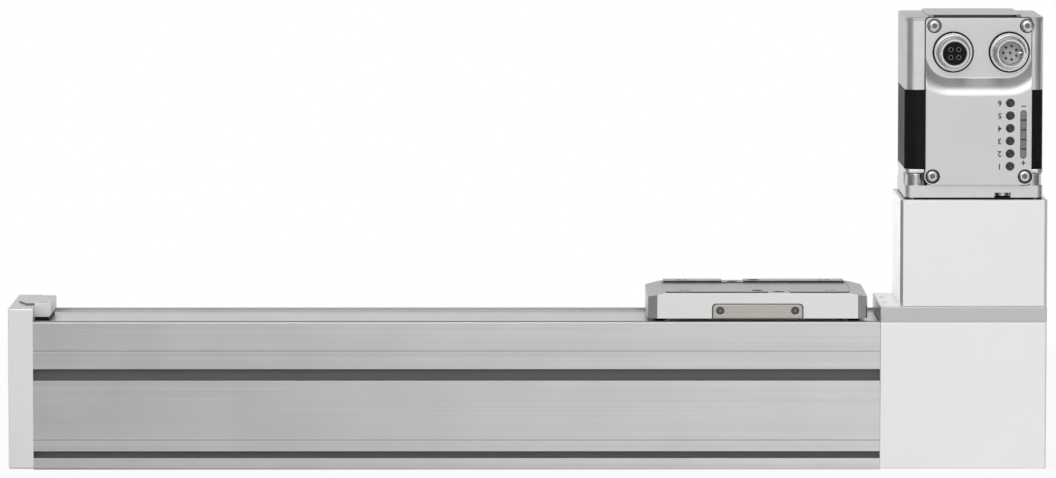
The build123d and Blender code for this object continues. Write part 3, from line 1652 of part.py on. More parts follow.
nodes = {
    "profile": lambda: [profile()],
    "guide_rail": lambda: [guide_rail()],
    "rail_screws": rail_screws,
    "stop_buffers": stop_buffers,
    "cover_strip": lambda: [cover_strip()],
    "magnet_strips": magnet_strips,
    "strip_jaws": strip_jaws,
    "strip_clamp": lambda: [strip_clamp()],
    "strip_screws": strip_screws,
    "end_cap": lambda: [end_cap()],
    "profile_screws": profile_screws,
    "tensioner_yoke": lambda: [tensioner_yoke()],
    "tension_screws": tension_screws,
    "idler_shaft": lambda: [idler_shaft()],
    "idler_pulley": lambda: [idler_pulley()],
    "idler_bush": lambda: [idler_bush()],
    "toothed_belt": lambda: [toothed_belt()],
    "drive_housing": lambda: [drive_housing()],
    "drive_cover": lambda: [drive_cover()],
    "drive_pulley": lambda: [drive_pulley()],
    "drive_shaft": lambda: [drive_shaft()],
    "bearing_outer_rings": bearing_outer_rings,
    "bearing_inner_rings": bearing_inner_rings,
    "coupling_hub_lower": lambda: [coupling_hub_lower()],
    "coupling_spider": lambda: [coupling_spider()],
    "coupling_hub_upper": lambda: [coupling_hub_upper()],
    "coupling_housing": lambda: [coupling_housing()],
    "adapter_screws": adapter_screws,
    "flange_gasket": lambda: [flange_gasket()],
    "motor_flange": lambda: [motor_flange()],
    "stator": lambda: [stator()],
    "rotor": lambda: [rotor()],
    "motor_shaft": lambda: [motor_shaft()],
    "electronics_housing": lambda: [electronics_housing()],
    "housing_lid": lambda: [housing_lid()],
    "circuit_boards": circuit_boards,
    "front_panel": lambda: [front_panel()],
    "panel_screws": panel_screws,
    "level_window": lambda: [level_window()],
    "power_socket_shell": lambda: [connector_shell(power_x)],
    "power_socket_insert": lambda: [power_socket_insert()],
    "signal_socket_shell": lambda: [connector_shell(signal_x)],
    "signal_socket_insert": lambda: [signal_socket_insert()],
    "guide_carriage": lambda: [guide_carriage()],
    "carriage_end_caps": carriage_end_caps,
    "slide_bracket": lambda: [slide_bracket()],
    "belt_clamp": lambda: [belt_clamp()],
    "carriage_screws": carriage_screws,
    "switch_magnet": lambda: [switch_magnet()],
    "slide_body": lambda: [slide_body()],
    "slide_plates": slide_plates,
    "slide_plate_screws": slide_plate_screws,
    "adjusting_screws": adjusting_screws,
    "strip_guides": strip_guides,
}

os.makedirs("parts", exist_ok=True)
for node_name, make in nodes.items():
    write(node_name, make())
for number, height in enumerate(key_heights(), start=1):
    write(f"key_{number}", [key(height)])
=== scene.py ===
"""Finishes and fine forms of a toothed belt linear axis with an upright motor.

Metres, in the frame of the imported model: +X along the travel, -Y to the front, +Z up.
"""
from __future__ import annotations

import json
import logging
import math
from contextlib import contextmanager
from dataclasses import dataclass, field
from enum import Enum
from functools import cache
from itertools import product
from typing import Callable, Iterator, Sequence

import bmesh
import bpy
from mathutils import Euler, Matrix, Vector

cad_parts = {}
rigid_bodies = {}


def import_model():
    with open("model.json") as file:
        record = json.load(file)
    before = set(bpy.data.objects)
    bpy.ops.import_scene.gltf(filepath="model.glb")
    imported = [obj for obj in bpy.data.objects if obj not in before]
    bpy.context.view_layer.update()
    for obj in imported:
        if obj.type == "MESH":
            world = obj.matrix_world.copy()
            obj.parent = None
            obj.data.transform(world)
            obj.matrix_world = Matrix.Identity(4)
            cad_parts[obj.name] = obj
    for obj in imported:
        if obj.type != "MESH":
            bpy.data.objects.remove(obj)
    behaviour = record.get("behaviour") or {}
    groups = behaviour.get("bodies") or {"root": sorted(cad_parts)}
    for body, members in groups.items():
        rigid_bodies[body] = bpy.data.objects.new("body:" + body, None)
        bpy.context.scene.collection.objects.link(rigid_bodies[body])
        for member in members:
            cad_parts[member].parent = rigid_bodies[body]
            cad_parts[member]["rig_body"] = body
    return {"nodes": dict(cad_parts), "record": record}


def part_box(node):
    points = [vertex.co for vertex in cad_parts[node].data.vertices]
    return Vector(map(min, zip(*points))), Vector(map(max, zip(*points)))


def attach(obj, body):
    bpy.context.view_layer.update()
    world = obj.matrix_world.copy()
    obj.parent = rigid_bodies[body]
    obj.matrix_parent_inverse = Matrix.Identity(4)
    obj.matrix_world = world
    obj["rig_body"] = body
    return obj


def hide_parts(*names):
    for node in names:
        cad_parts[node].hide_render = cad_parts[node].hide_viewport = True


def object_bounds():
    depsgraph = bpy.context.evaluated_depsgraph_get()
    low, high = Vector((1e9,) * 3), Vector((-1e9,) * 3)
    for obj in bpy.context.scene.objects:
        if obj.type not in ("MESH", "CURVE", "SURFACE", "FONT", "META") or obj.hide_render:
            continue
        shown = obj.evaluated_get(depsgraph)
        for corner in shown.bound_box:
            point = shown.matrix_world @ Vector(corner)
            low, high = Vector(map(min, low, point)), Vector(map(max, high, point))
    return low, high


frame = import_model()
cad_low, cad_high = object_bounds()
log = logging.getLogger("linear_axis")

MM = 0.001
# Corners closer than this are one corner.
WELD = 0.0005 * MM
# Faces that meet at less than this become one face.
FLAT = math.radians(0.5)
# Faces that meet at less than this are shaded as one surface.
SMOOTH = math.radians(40)
# Corners of a turned piece.
ROUND_SIDES = 48
# Shares of a rounding's width that are tried in turn.
FINER = (1.0, 0.6, 0.35, 0.15)
# A rounding may let a piece grow by this at most.
GROWTH = 0.002 * MM
# A face is square to an axis where the cosine between them is over this.
SQUARE = 0.97
# A face is mainly level or upright where the cosine is on this value's other side.
HALF_TURNED = 0.5
# Shading at a shared corner follows the larger faces at more than fifty.
FACE_WEIGHT = 80
# Levels of a noise pattern that needs more than the usual two, and any pattern's mean value.
DETAILED = 3.0
NOISE_MEAN = 0.5

FaceTest = Callable[[Vector, Vector], bool]


class Axis(Enum):
    """Direction of a grain, of a face or of a piece's axis."""

    X = (1.0, 0.0, 0.0)
    Y = (0.0, 1.0, 0.0)
    Z = (0.0, 0.0, 1.0)
    FRONT = (0.0, -1.0, 0.0)
    LEFT = (-1.0, 0.0, 0.0)
    DOWN = (0.0, 0.0, -1.0)

    @property
    def vector(self) -> Vector:
        """The direction as a vector."""
        return Vector(self.value)


class Sock:
    """A socket of a node tree that takes part in arithmetic."""

    def __init__(self, graph: Graph, socket: bpy.types.NodeSocket) -> None:
        """Wrap a socket that belongs to a graph."""
        self.graph = graph
        self.socket = socket

    def _calc(self, operation: str, first: Sock | float, second: Sock | float) -> Sock:
        """Add one Math node."""
        return self.graph.node("ShaderNodeMath", {"operation": operation}, {0: first, 1: second})

    def __add__(self, other: Sock | float) -> Sock:
        """Sum."""
        return self._calc("ADD", self, other)

    def __sub__(self, other: Sock | float) -> Sock:
        """Difference."""
        return self._calc("SUBTRACT", self, other)

    def __rsub__(self, other: float) -> Sock:
        """Difference from a number."""
        return self._calc("SUBTRACT", other, self)

    def __mul__(self, other: Sock | float) -> Sock:
        """Product."""
        return self._calc("MULTIPLY", self, other)

    def __pow__(self, other: float) -> Sock:
        """Power."""
        return self._calc("POWER", self, other)

    def clamped(self) -> Sock:
        """This value kept between zero and one."""
        return self.graph.node("ShaderNodeClamp", None, {"Value": self})

    __radd__ = __add__
    __rmul__ = __mul__


class Graph:
    """A node tree that is built from expressions."""

    def __init__(self, tree: bpy.types.NodeTree) -> None:
        """Wrap a node tree."""
        self.tree = tree

    def node(self, kind: str, settings: dict | None = None, sockets: dict | None = None,
             out: int | str = 0) -> Sock:
        """Add a node.

        Args:
            kind: The node's type.
            settings: Its settings, set before the sockets.
            sockets: Values or links for its inputs, by name or number.
            out: The output that is handed back.

        Returns:
            The chosen output.
        """
        made = self.tree.nodes.new(kind)
        for key, value in (settings or {}).items():
            setattr(made, key, value)
        for key, value in (sockets or {}).items():
            self.feed(made.inputs[key], value)
        return Sock(self, made.outputs[out])

    def feed(self, target: bpy.types.NodeSocket, value: Sock | float | Sequence[float]) -> None:
        """Link a socket, or set its value.

        Args:
            target: The input.
            value: What it gets: a link or a plain value.
        """
        if isinstance(value, Sock):
            self.tree.links.new(value.socket, target)
        else:
            target.default_value = value

    def scaled(self, color: Sock | Sequence[float], factor: Sock | float) -> Sock:
        """A colour or vector times a number."""
        return self.node("ShaderNodeVectorMath", {"operation": "SCALE"},
                         {0: color, "Scale": factor})

    def size_of(self, number: Sock) -> Sock:
        """A number without its sign."""
        return self.node("ShaderNodeMath", {"operation": "ABSOLUTE"}, {0: number})

    def parts(self, vector: Sock) -> tuple[Sock, Sock, Sock]:
        """The three components of a vector."""
        first = self.node("ShaderNodeSeparateXYZ", None, {0: vector})
        return tuple(Sock(self, out) for out in first.socket.node.outputs)

    def noise(self, vector: Sock, size: float, detail: float = 2.0) -> Sock:
        """Noise with features of about the given size, from about zero to one."""
        return self.node("ShaderNodeTexNoise", None,
                         {"Vector": vector, "Scale": 1.0 / size, "Detail": detail}, "Fac")


@dataclass(frozen=True)
class Finish:
    """A surface: its colour, gloss, grain and drawn or brushed streaks. Sizes are in metres."""

    name: str
    color: tuple[float, float, float]
    metallic: float = 0.0
    roughness: float = 0.5
    rough_change: float = 0.06
    tone: float = 0.03
    tone_size: float = 25 * MM
    grain_size: float = 0.3 * MM
    grain_tone: float = 0.0
    grain_depth: float = 0.0
    streak: Axis | None = None
    streak_size: float = 0.6 * MM
    streak_tone: float = 0.0
    streak_depth: float = 0.0
    streak_squeeze: float = 0.004
    streak_broad: float = 6.0
    streak_fine_share: float = 0.6
    coat: float = 0.0
    specular: float = 0.5

    @cache
    def material(self) -> bpy.types.Material:
        """Build the material once.

        Returns:
            The material.
        """
        made = bpy.data.materials.new(self.name)
        made.use_nodes = True
        graph = Graph(made.node_tree)
        shader = made.node_tree.nodes["Principled BSDF"]
        place = graph.node("ShaderNodeTexCoord", out="Object")
        broad = graph.noise(place, self.tone_size, DETAILED) - NOISE_MEAN
        grain = graph.noise(place, self.grain_size) - NOISE_MEAN
        tone = 1.0 + 2 * self.tone * broad + 2 * self.grain_tone * grain
        height = grain * self.grain_depth
        rough = self.roughness + 2 * self.rough_change * broad
        if self.streak is not None:
            lines = self.streak_lines(graph, place) - NOISE_MEAN
            tone = tone + 2 * self.streak_tone * lines
            height = height + lines * self.streak_depth
            rough = rough + self.rough_change * lines
        graph.feed(shader.inputs["Base Color"], graph.scaled(self.color, tone))
        graph.feed(shader.inputs["Roughness"], rough.clamped())
        if self.grain_depth or self.streak_depth:
            bump = graph.node("ShaderNodeBump", None, {"Distance": 1.0, "Height": height})
            graph.feed(shader.inputs["Normal"], bump)
        shader.inputs["Metallic"].default_value = self.metallic
        shader.inputs["Coat Weight"].default_value = self.coat
        shader.inputs["Specular IOR Level"].default_value = self.specular
        return made

    def streak_lines(self, graph: Graph, place: Sock) -> Sock:
        """Fine and broad lines along the streak axis.

        Args:
            graph: The material's graph.
            place: Object coordinates.

        Returns:
            A value from about zero to one.
        """
        squeeze = tuple(self.streak_squeeze if along else 1.0 for along in self.streak.value)
        drawn = graph.node("ShaderNodeVectorMath", {"operation": "MULTIPLY"},
                           {0: place, 1: squeeze})
        fine = graph.noise(drawn, self.streak_size, DETAILED)
        broad = graph.noise(drawn, self.streak_broad * self.streak_size)
        return fine * self.streak_fine_share + broad * (1.0 - self.streak_fine_share)


FINISHES: dict[str, Finish] = {
    "profile_aluminium": Finish(
        "anodised_extrusion", (0.59, 0.59, 0.595), metallic=0.85, roughness=0.34, tone=0.02,
        streak=Axis.X, streak_size=1.1 * MM, streak_tone=0.2, streak_depth=0.004 * MM,
        grain_tone=0.01),
    "slide_aluminium": Finish(
        "blasted_slide", (0.69, 0.69, 0.695), metallic=0.9, roughness=0.4, grain_tone=0.02,
        grain_depth=0.006 * MM, grain_size=0.18 * MM),
    "light_coating": Finish(
        "light_coating", (0.765, 0.765, 0.77), metallic=0.55, roughness=0.42, tone=0.012,
        grain_size=0.5 * MM, grain_depth=0.003 * MM, grain_tone=0.006),
    "grey_coating": Finish(
        "grey_anodised", (0.50, 0.50, 0.505), metallic=0.85, roughness=0.32, tone=0.012,
        grain_size=0.4 * MM, grain_depth=0.003 * MM, grain_tone=0.008),
    "cast_aluminium": Finish(
        "cast_aluminium", (0.62, 0.62, 0.615), metallic=0.9, roughness=0.30, tone=0.05,
        tone_size=9 * MM, grain_size=0.55 * MM, grain_tone=0.05, grain_depth=0.03 * MM),
    "panel_aluminium": Finish(
        "blasted_panel", (0.57, 0.57, 0.57), metallic=0.9, roughness=0.36, tone=0.03,
        grain_size=0.35 * MM, grain_tone=0.04, grain_depth=0.003 * MM),
    "black_laminations": Finish(
        "black_laminations", (0.005, 0.005, 0.005), roughness=0.5, tone=0.1, specular=0.2,
        streak=Axis.X, streak_size=0.5 * MM, streak_tone=0.2, grain_tone=0.15),
    "stainless": Finish(
        "brushed_stainless", (0.44, 0.425, 0.39), metallic=1.0, roughness=0.38, streak=Axis.X,
        streak_size=0.5 * MM, streak_tone=0.3, streak_depth=0.003 * MM),
    "strip_steel": Finish(
        "rolled_strip", (0.60, 0.60, 0.605), metallic=1.0, roughness=0.38, streak=Axis.X,
        streak_size=0.4 * MM, streak_tone=0.05, streak_depth=0.002 * MM),
    "steel": Finish(
        "ground_steel", (0.45, 0.46, 0.47), metallic=1.0, roughness=0.3, streak=Axis.X,
        streak_size=0.3 * MM, streak_tone=0.06),
    "bright_screws": Finish(
        "nickel_screws", (0.62, 0.62, 0.615), metallic=1.0, roughness=0.24, tone=0.06,
        tone_size=3 * MM, grain_tone=0.03),
    "dark_screws": Finish(
        "black_screws", (0.07, 0.07, 0.07), metallic=0.6, roughness=0.42, tone=0.1,
        tone_size=2 * MM, grain_tone=0.06),
    "black_plastic": Finish(
        "black_plastic", (0.005, 0.005, 0.005), roughness=0.5, specular=0.12,
        grain_size=0.15 * MM, grain_tone=0.1, grain_depth=0.004 * MM),
    "grey_plastic": Finish(
        "grey_plastic", (0.72, 0.72, 0.70), roughness=0.5, grain_size=0.15 * MM,
        grain_tone=0.04, grain_depth=0.004 * MM),
    "black_rubber": Finish(
        "black_rubber", (0.01, 0.01, 0.01), roughness=0.7, specular=0.2, grain_size=0.3 * MM,
        grain_tone=0.15, grain_depth=0.01 * MM),
    "belt_rubber": Finish(
        "belt_rubber", (0.03, 0.03, 0.032), roughness=0.65, grain_tone=0.1, streak=Axis.X,
        streak_tone=0.1, grain_depth=0.01 * MM),
    "magnet": Finish(
        "bonded_magnet", (0.06, 0.06, 0.06), metallic=0.3, roughness=0.6, grain_tone=0.1,
        grain_depth=0.01 * MM),
    "bronze": Finish(
        "sintered_bronze", (0.45, 0.30, 0.14), metallic=1.0, roughness=0.45, grain_tone=0.1,
        grain_depth=0.01 * MM),
    "spider_polymer": Finish(
        "spider_polymer", (0.42, 0.03, 0.02), roughness=0.45, grain_tone=0.05,
        grain_depth=0.004 * MM),
    "board": Finish(
        "circuit_board", (0.02, 0.13, 0.05), roughness=0.4, tone=0.15, tone_size=4 * MM,
        grain_size=1.2 * MM, grain_tone=0.25, coat=0.3),
    "window": Finish(
        "light_guide", (0.10, 0.10, 0.10), roughness=0.22, tone=0.08, tone_size=4 * MM,
        grain_tone=0.02, coat=0.4),
    "connector_metal": Finish(
        "turned_nickel", (0.68, 0.68, 0.675), metallic=1.0, roughness=0.26, tone=0.03,
        tone_size=4 * MM, streak=Axis.Y, streak_size=0.4 * MM, streak_tone=0.03),
}
# Finishes of single faces, small pieces and prints, beside those of the nodes' own slots; most of
# them paint shade or light, as said above each.
# Painted shade: dark colour for the faces deep in the profile's side slots and for the clamp arms'
# walls in the cap.
SLOT_PAINTED_SHADE = Finish("slot_painted_shade", (0.18, 0.18, 0.182), metallic=0.5, roughness=0.6, streak=Axis.X,
                    streak_size=0.5 * MM, streak_tone=0.06)
# Painted shade: a darker colour in the fine guide grooves, so that they show as dark lines.
GROOVE_PAINTED_SHADE = Finish("groove_painted_shade", (0.42, 0.42, 0.425), metallic=0.85, roughness=0.45)
# Painted shade: a mirror-like metal on the broken edges of one side of some housings, so that the dim
# side surround shows in them as a dark outline.
SIDE_EDGE_SHADE = Finish("side_edge_painted_shade", (0.85, 0.85, 0.85), metallic=1.0, roughness=0.3, grain_tone=0.03)
# The lid's own darker cast finish; on the electronics housing's left and right ends it is painted
# shade.
LID_CAST_AND_END_SHADE = Finish("cast_lid_and_end_shade", (0.50, 0.50, 0.495), metallic=0.85, roughness=0.4, tone=0.05,
                  tone_size=9 * MM, grain_size=0.55 * MM, grain_tone=0.05, grain_depth=0.02 * MM)
# Milled streaks on the slide's top; its colour, darker than the slide's sides, is painted shade.
MILLED_TOP_SHADE = Finish("milled_top_painted_shade", (0.44, 0.44, 0.445), metallic=0.85, roughness=0.42,
                    streak=Axis.X, streak_size=0.8 * MM, streak_tone=0.05)
# Painted light: a near-white, mostly matt colour that makes the drive cover's top and the coupling
# housing's left face look brightly lit.
PAINTED_LIGHT_FACES = Finish("painted_light_faces", (0.95, 0.95, 0.95), metallic=0.2, roughness=0.5,
                   tone=0.012, grain_size=0.5 * MM, grain_tone=0.006)
# Painted shade: near black on upright walls of ribs, holes and pockets in the tops of the slide and
# end cap, and on the front wall of the lid's raised field.
MILLED_SHADE = Finish("milled_shade", (0.04, 0.04, 0.04), metallic=0.7, roughness=0.45,
                      grain_tone=0.05)
# Painted shade: a darker colour, with drawn streaks, on the profile's rim and on the wall inside it.
PROFILE_TOP_SHADE = Finish("profile_top_painted_shade", (0.34, 0.34, 0.345), metallic=0.85, roughness=0.42,
                     streak=Axis.X, streak_size=1.1 * MM, streak_tone=0.1)
# Painted shade: a darker colour on the slide's upright corners.
SLIDE_CORNER_SHADE = Finish("slide_corner_painted_shade", (0.44, 0.44, 0.445), metallic=0.9, roughness=0.36,
                      grain_tone=0.02)
# Painted shade: a darker colour on the level tops of the end cap and the strip clamp.
CAP_TOP_SHADE = Finish("cap_top_painted_shade", (0.60, 0.60, 0.605), metallic=0.55, roughness=0.42,
                 tone=0.012, grain_tone=0.006)
# Painted sheen: the stator's left and right sides are a little lighter and glossier than its front.
SHEET_SIDE_SHEEN = Finish("lamination_side_sheen", (0.008, 0.008, 0.008), roughness=0.5, specular=0.7,
                    tone=0.1, grain_tone=0.15)
KEY_GREY = Finish("key_grey", (0.032, 0.032, 0.032), roughness=0.45, grain_size=0.15 * MM,
                  grain_tone=0.06, grain_depth=0.004 * MM)
# Black print for numbers and signs; the same black also paints shade on the rings round the slide
# plates and the screw heads, and on the level bar's sides.
INK_AND_SHADE = Finish("print_and_painted_shade", (0.03, 0.03, 0.03), roughness=0.55, grain_size=0.1 * MM,
             grain_tone=0.2)
# Painted shade: a darker colour in the screw heads' recesses and on the rims round the socket
# contacts.
RECESS_SHADE = Finish("recess_shade", (0.17, 0.17, 0.168), metallic=0.8, roughness=0.4,
                      tone=0.1, tone_size=2 * MM)
# Painted shade: the signal insert's pins are dark instead of bright metal.
PIN_PAINTED_SHADE = Finish("pins_painted_shade", (0.06, 0.058, 0.05), metallic=0.8, roughness=0.35, tone=0.1,
                  tone_size=MM)
GUIDE_GREY = Finish("light_guide_grey", (0.16, 0.16, 0.16), roughness=0.25, tone=0.1,
                    tone_size=3 * MM, grain_tone=0.05, coat=0.4)


def corners(places: Sequence[Vector]) -> tuple[Vector, Vector]:
    """Lowest and highest corner of the box round some points.

    Args:
        places: The points.

    Returns:
        The two corners.
    """
    return (Vector(min(p[i] for p in places) for i in range(3)),
            Vector(max(p[i] for p in places) for i in range(3)))


def turn_to(axis: Vector) -> Matrix:
    """The turn that brings +Z to an axis."""
    return Axis.Z.vector.rotation_difference(axis).to_matrix().to_4x4()


def facing(axis: Axis, least: float = SQUARE) -> FaceTest:
    """A test for faces that look along an axis.

    Args:
        axis: The direction.
        least: Least cosine between a face's normal and the direction.

    Returns:
        The test, called with a face's centre and normal.
    """
    return lambda place, normal: normal.dot(axis.vector) > least


class Bench:
    """Modelling by hand: primitives, selections, edit mode operators and modifiers."""

    @staticmethod
    def only(*pieces: bpy.types.Object) -> None:
        """Select some objects and nothing else.

        Args:
            pieces: The objects. The first becomes the active one.
        """
        bpy.ops.object.select_all(action="DESELECT")
        for piece in pieces:
            piece.select_set(True)
        bpy.context.view_layer.objects.active = pieces[0]

    @staticmethod
    @contextmanager
    def editing(piece: bpy.types.Object) -> Iterator[None]:
        """Edit mode on one object, with all of it selected.

        Args:
            piece: The object.

        Yields:
            Nothing. The object is back in object mode afterwards.
        """
        Bench.only(piece)
        bpy.ops.object.mode_set(mode="EDIT")
        bpy.ops.mesh.select_all(action="SELECT")
        try:
            yield
        finally:
            bpy.ops.object.mode_set(mode="OBJECT")

    @staticmethod
    def select(piece: bpy.types.Object, kind: str, test: Callable[..., bool]) -> int:
        """Select the vertices, edges or faces of the edited mesh that pass a test.

        Args:
            piece: The object in edit mode.
            kind: VERT, EDGE or FACE.
            test: Called with each element.

        Returns:
            How many were selected.
        """
        bpy.ops.mesh.select_mode(type=kind)
        bpy.ops.mesh.select_all(action="DESELECT")
        mesh = bmesh.from_edit_mesh(piece.data)
        items = {"VERT": mesh.verts, "EDGE": mesh.edges, "FACE": mesh.faces}[kind]
        chosen = [item for item in items if test(item)]
        for item in chosen:
            item.select_set(True)
        mesh.select_flush_mode()
        bmesh.update_edit_mesh(piece.data)
        return len(chosen)

    @staticmethod
    def modify(piece: bpy.types.Object, kind: str, **settings: object) -> None:
        """Add a modifier and apply it.

        Args:
            piece: The object.
            kind: The modifier's type.
            settings: Its settings.
        """
        Bench.only(piece)
        made = piece.modifiers.new(kind.lower(), kind)
        for key, value in settings.items():
            setattr(made, key, value)
        bpy.ops.object.modifier_apply(modifier=made.name)

    @staticmethod
    def reach(piece: bpy.types.Object) -> tuple[Vector, Vector]:
        """Lowest and highest corner of a mesh."""
        return corners([v.co for v in piece.data.vertices])

    @staticmethod
    def soften(piece: bpy.types.Object, width: float, segments: int = 2,
               sharp: float = 30.0) -> None:
        """Round all sharp edges, more finely where the full width would break the form.

        Args:
            piece: The object.
            width: Width of the rounding.
            segments: Faces across it.
            sharp: Least angle between the faces, in degrees.
        """
        plain = piece.data
        low, high = Bench.reach(piece)
        for share in FINER:
            piece.data = plain.copy()
            Bench.modify(piece, "BEVEL", width=share * width, segments=segments,
                         limit_method="ANGLE", angle_limit=math.radians(sharp),
                         use_clamp_overlap=False)
            new_low, new_high = Bench.reach(piece)
            grown = max(*(low - new_low), *(new_high - high))
            if grown < GROWTH:
                return
        piece.data = plain
        log.info("%s: edges left sharp", piece.name)

    @staticmethod
    def shade(piece: bpy.types.Object, angle: float = SMOOTH) -> None:
        """Smooth shading that keeps flat faces flat.

        Args:
            piece: The object.
            angle: Faces that meet at less are shaded as one surface.
        """
        Bench.only(piece)
        bpy.ops.object.shade_smooth_by_angle(angle=angle)
        Bench.modify(piece, "WEIGHTED_NORMAL", keep_sharp=True, weight=FACE_WEIGHT)

    @staticmethod
    def second_finish(piece: bpy.types.Object, finish: Finish, test: FaceTest) -> None:
        """Give some faces another finish.

        Args:
            piece: The object.
            finish: The other finish.
            test: Called with each face's centre and normal.
        """
        piece.data.materials.append(finish.material())
        for face in piece.data.polygons:
            if test(face.center, face.normal):
                face.material_index = len(piece.data.materials) - 1

    @staticmethod
    def cut(piece: bpy.types.Object, tool: bpy.types.Object, operation: str = "DIFFERENCE") -> None:
        """Cut one object with another, which is used up."""
        Bench.modify(piece, "BOOLEAN", object=tool, operation=operation, solver="EXACT")
        bpy.data.objects.remove(tool)

    @staticmethod
    def join(name: str, pieces: Sequence[bpy.types.Object]) -> bpy.types.Object:
        """Join objects into one.

        Args:
            name: The new name.
            pieces: The objects, which are used up.

        Returns:
            The joined object.
        """
        Bench.only(*pieces)
        bpy.ops.object.join()
        pieces[0].name = name
        pieces[0].data.name = name
        return pieces[0]

    @staticmethod
    def settle(piece: bpy.types.Object, matrix: Matrix | None = None) -> None:
        """Apply a placement, so that the object ends at the origin, unturned and unscaled.

        Args:
            piece: The object.
            matrix: A further placement that comes first.
        """
        if matrix is not None:
            piece.matrix_world = matrix @ piece.matrix_world
        Bench.only(piece)
        bpy.ops.object.transform_apply(location=True, rotation=True, scale=True)

    @staticmethod
    def resize(piece: bpy.types.Object, point: Vector, factors: Sequence[float]) -> None:
        """Stretch an object about a point.

        Args:
            piece: The object.
            point: The place that stays where it is.
            factors: How much it grows along X, Y and Z.
        """
        grow = Matrix.Diagonal((*factors, 1))
        Bench.settle(piece, Matrix.Translation(point) @ grow @ Matrix.Translation(-point))

    @staticmethod
    def copy_of(piece: bpy.types.Object, matrix: Matrix, name: str) -> bpy.types.Object:
        """Copy an object with its own mesh.

        Args:
            piece: The object.
            matrix: Where the copy goes.
            name: The copy's name.

        Returns:
            The copy.
        """
        made = bpy.data.objects.new(name, piece.data.copy())
        bpy.context.collection.objects.link(made)
        made.data.transform(matrix)
        return made

    @staticmethod
    def block(name: str, low: Vector, high: Vector) -> bpy.types.Object:
        """A cube primitive stretched between two corners.

        Args:
            name: The object's name.
            low: Lowest corner.
            high: Highest corner.

        Returns:
            The block.
        """
        bpy.ops.object.select_all(action="DESELECT")
        bpy.ops.mesh.primitive_cube_add(size=1.0, location=(low + high) / 2)
        piece = bpy.context.object
        piece.name = name
        piece.scale = high - low
        Bench.settle(piece)
        return piece

    @staticmethod
    def turned(name: str, outline: Sequence[tuple[float, float]], place: Vector,
               axis: Vector, sides: int = ROUND_SIDES, hollow: bool = False) -> bpy.types.Object:
        """A turned piece: a circle extruded and resized from station to station.

        Args:
            name: The object's name.
            outline: Stations as radius and height, in metres along the axis.
            place: Where height zero lies.
            axis: Direction of growing height.
            sides: Corners of the circle.
            hollow: The outline comes back to its first station and leaves the axis open.

        Returns:
            The turned object.
        """
        bpy.ops.object.select_all(action="DESELECT")
        first_radius, first_height = outline[0]
        bpy.ops.mesh.primitive_circle_add(vertices=sides, radius=first_radius,
                                          location=(0, 0, first_height),
                                          fill_type="NOTHING" if hollow else "NGON")
        piece = bpy.context.object
        piece.name = name
        Bench.settle(piece)
        with Bench.editing(piece):
            radius, height = first_radius, first_height
            for next_radius, next_height in outline[1:]:
                bpy.ops.mesh.extrude_region_move(
                    TRANSFORM_OT_translate={"value": (0, 0, next_height - height)})
                ratio = next_radius / radius
                bpy.ops.transform.resize(value=(ratio, ratio, 1),
                                         center_override=(0, 0, next_height))
                radius, height = next_radius, next_height
            bpy.ops.mesh.select_all(action="SELECT")
            bpy.ops.mesh.remove_doubles(threshold=WELD)
            bpy.ops.mesh.normals_make_consistent(inside=False)
        Bench.settle(piece, Matrix.Translation(place) @ turn_to(axis))
        return piece

    @staticmethod
    def prism(name: str, lobes: int, radii: tuple[float, float],
              heights: tuple[float, float]) -> bpy.types.Object:
        """An upright prism for a recess: a polygon, or a star where the inner radius is small.

        Args:
            name: The object's name.
            lobes: Number of its points.
            radii: Radius of the points and of the corners between them.
            heights: Where it begins and ends on Z.

        Returns:
            The prism.
        """
        outer, inner = radii
        low, high = heights
        bpy.ops.object.select_all(action="DESELECT")
        bpy.ops.mesh.primitive_circle_add(vertices=2 * lobes, radius=outer,
                                          location=(0, 0, low), fill_type="NGON")
        piece = bpy.context.object
        piece.name = name
        Bench.settle(piece)
        with Bench.editing(piece):
            Bench.select(piece, "VERT", lambda v: v.index % 2 == 1)
            ratio = inner / outer
            bpy.ops.transform.resize(value=(ratio, ratio, 1), center_override=(0, 0, low))
            bpy.ops.mesh.select_all(action="SELECT")
            bpy.ops.mesh.extrude_region_move(TRANSFORM_OT_translate={"value": (0, 0, high - low)})
            bpy.ops.mesh.select_all(action="SELECT")
            bpy.ops.mesh.normals_make_consistent(inside=False)
        return piece


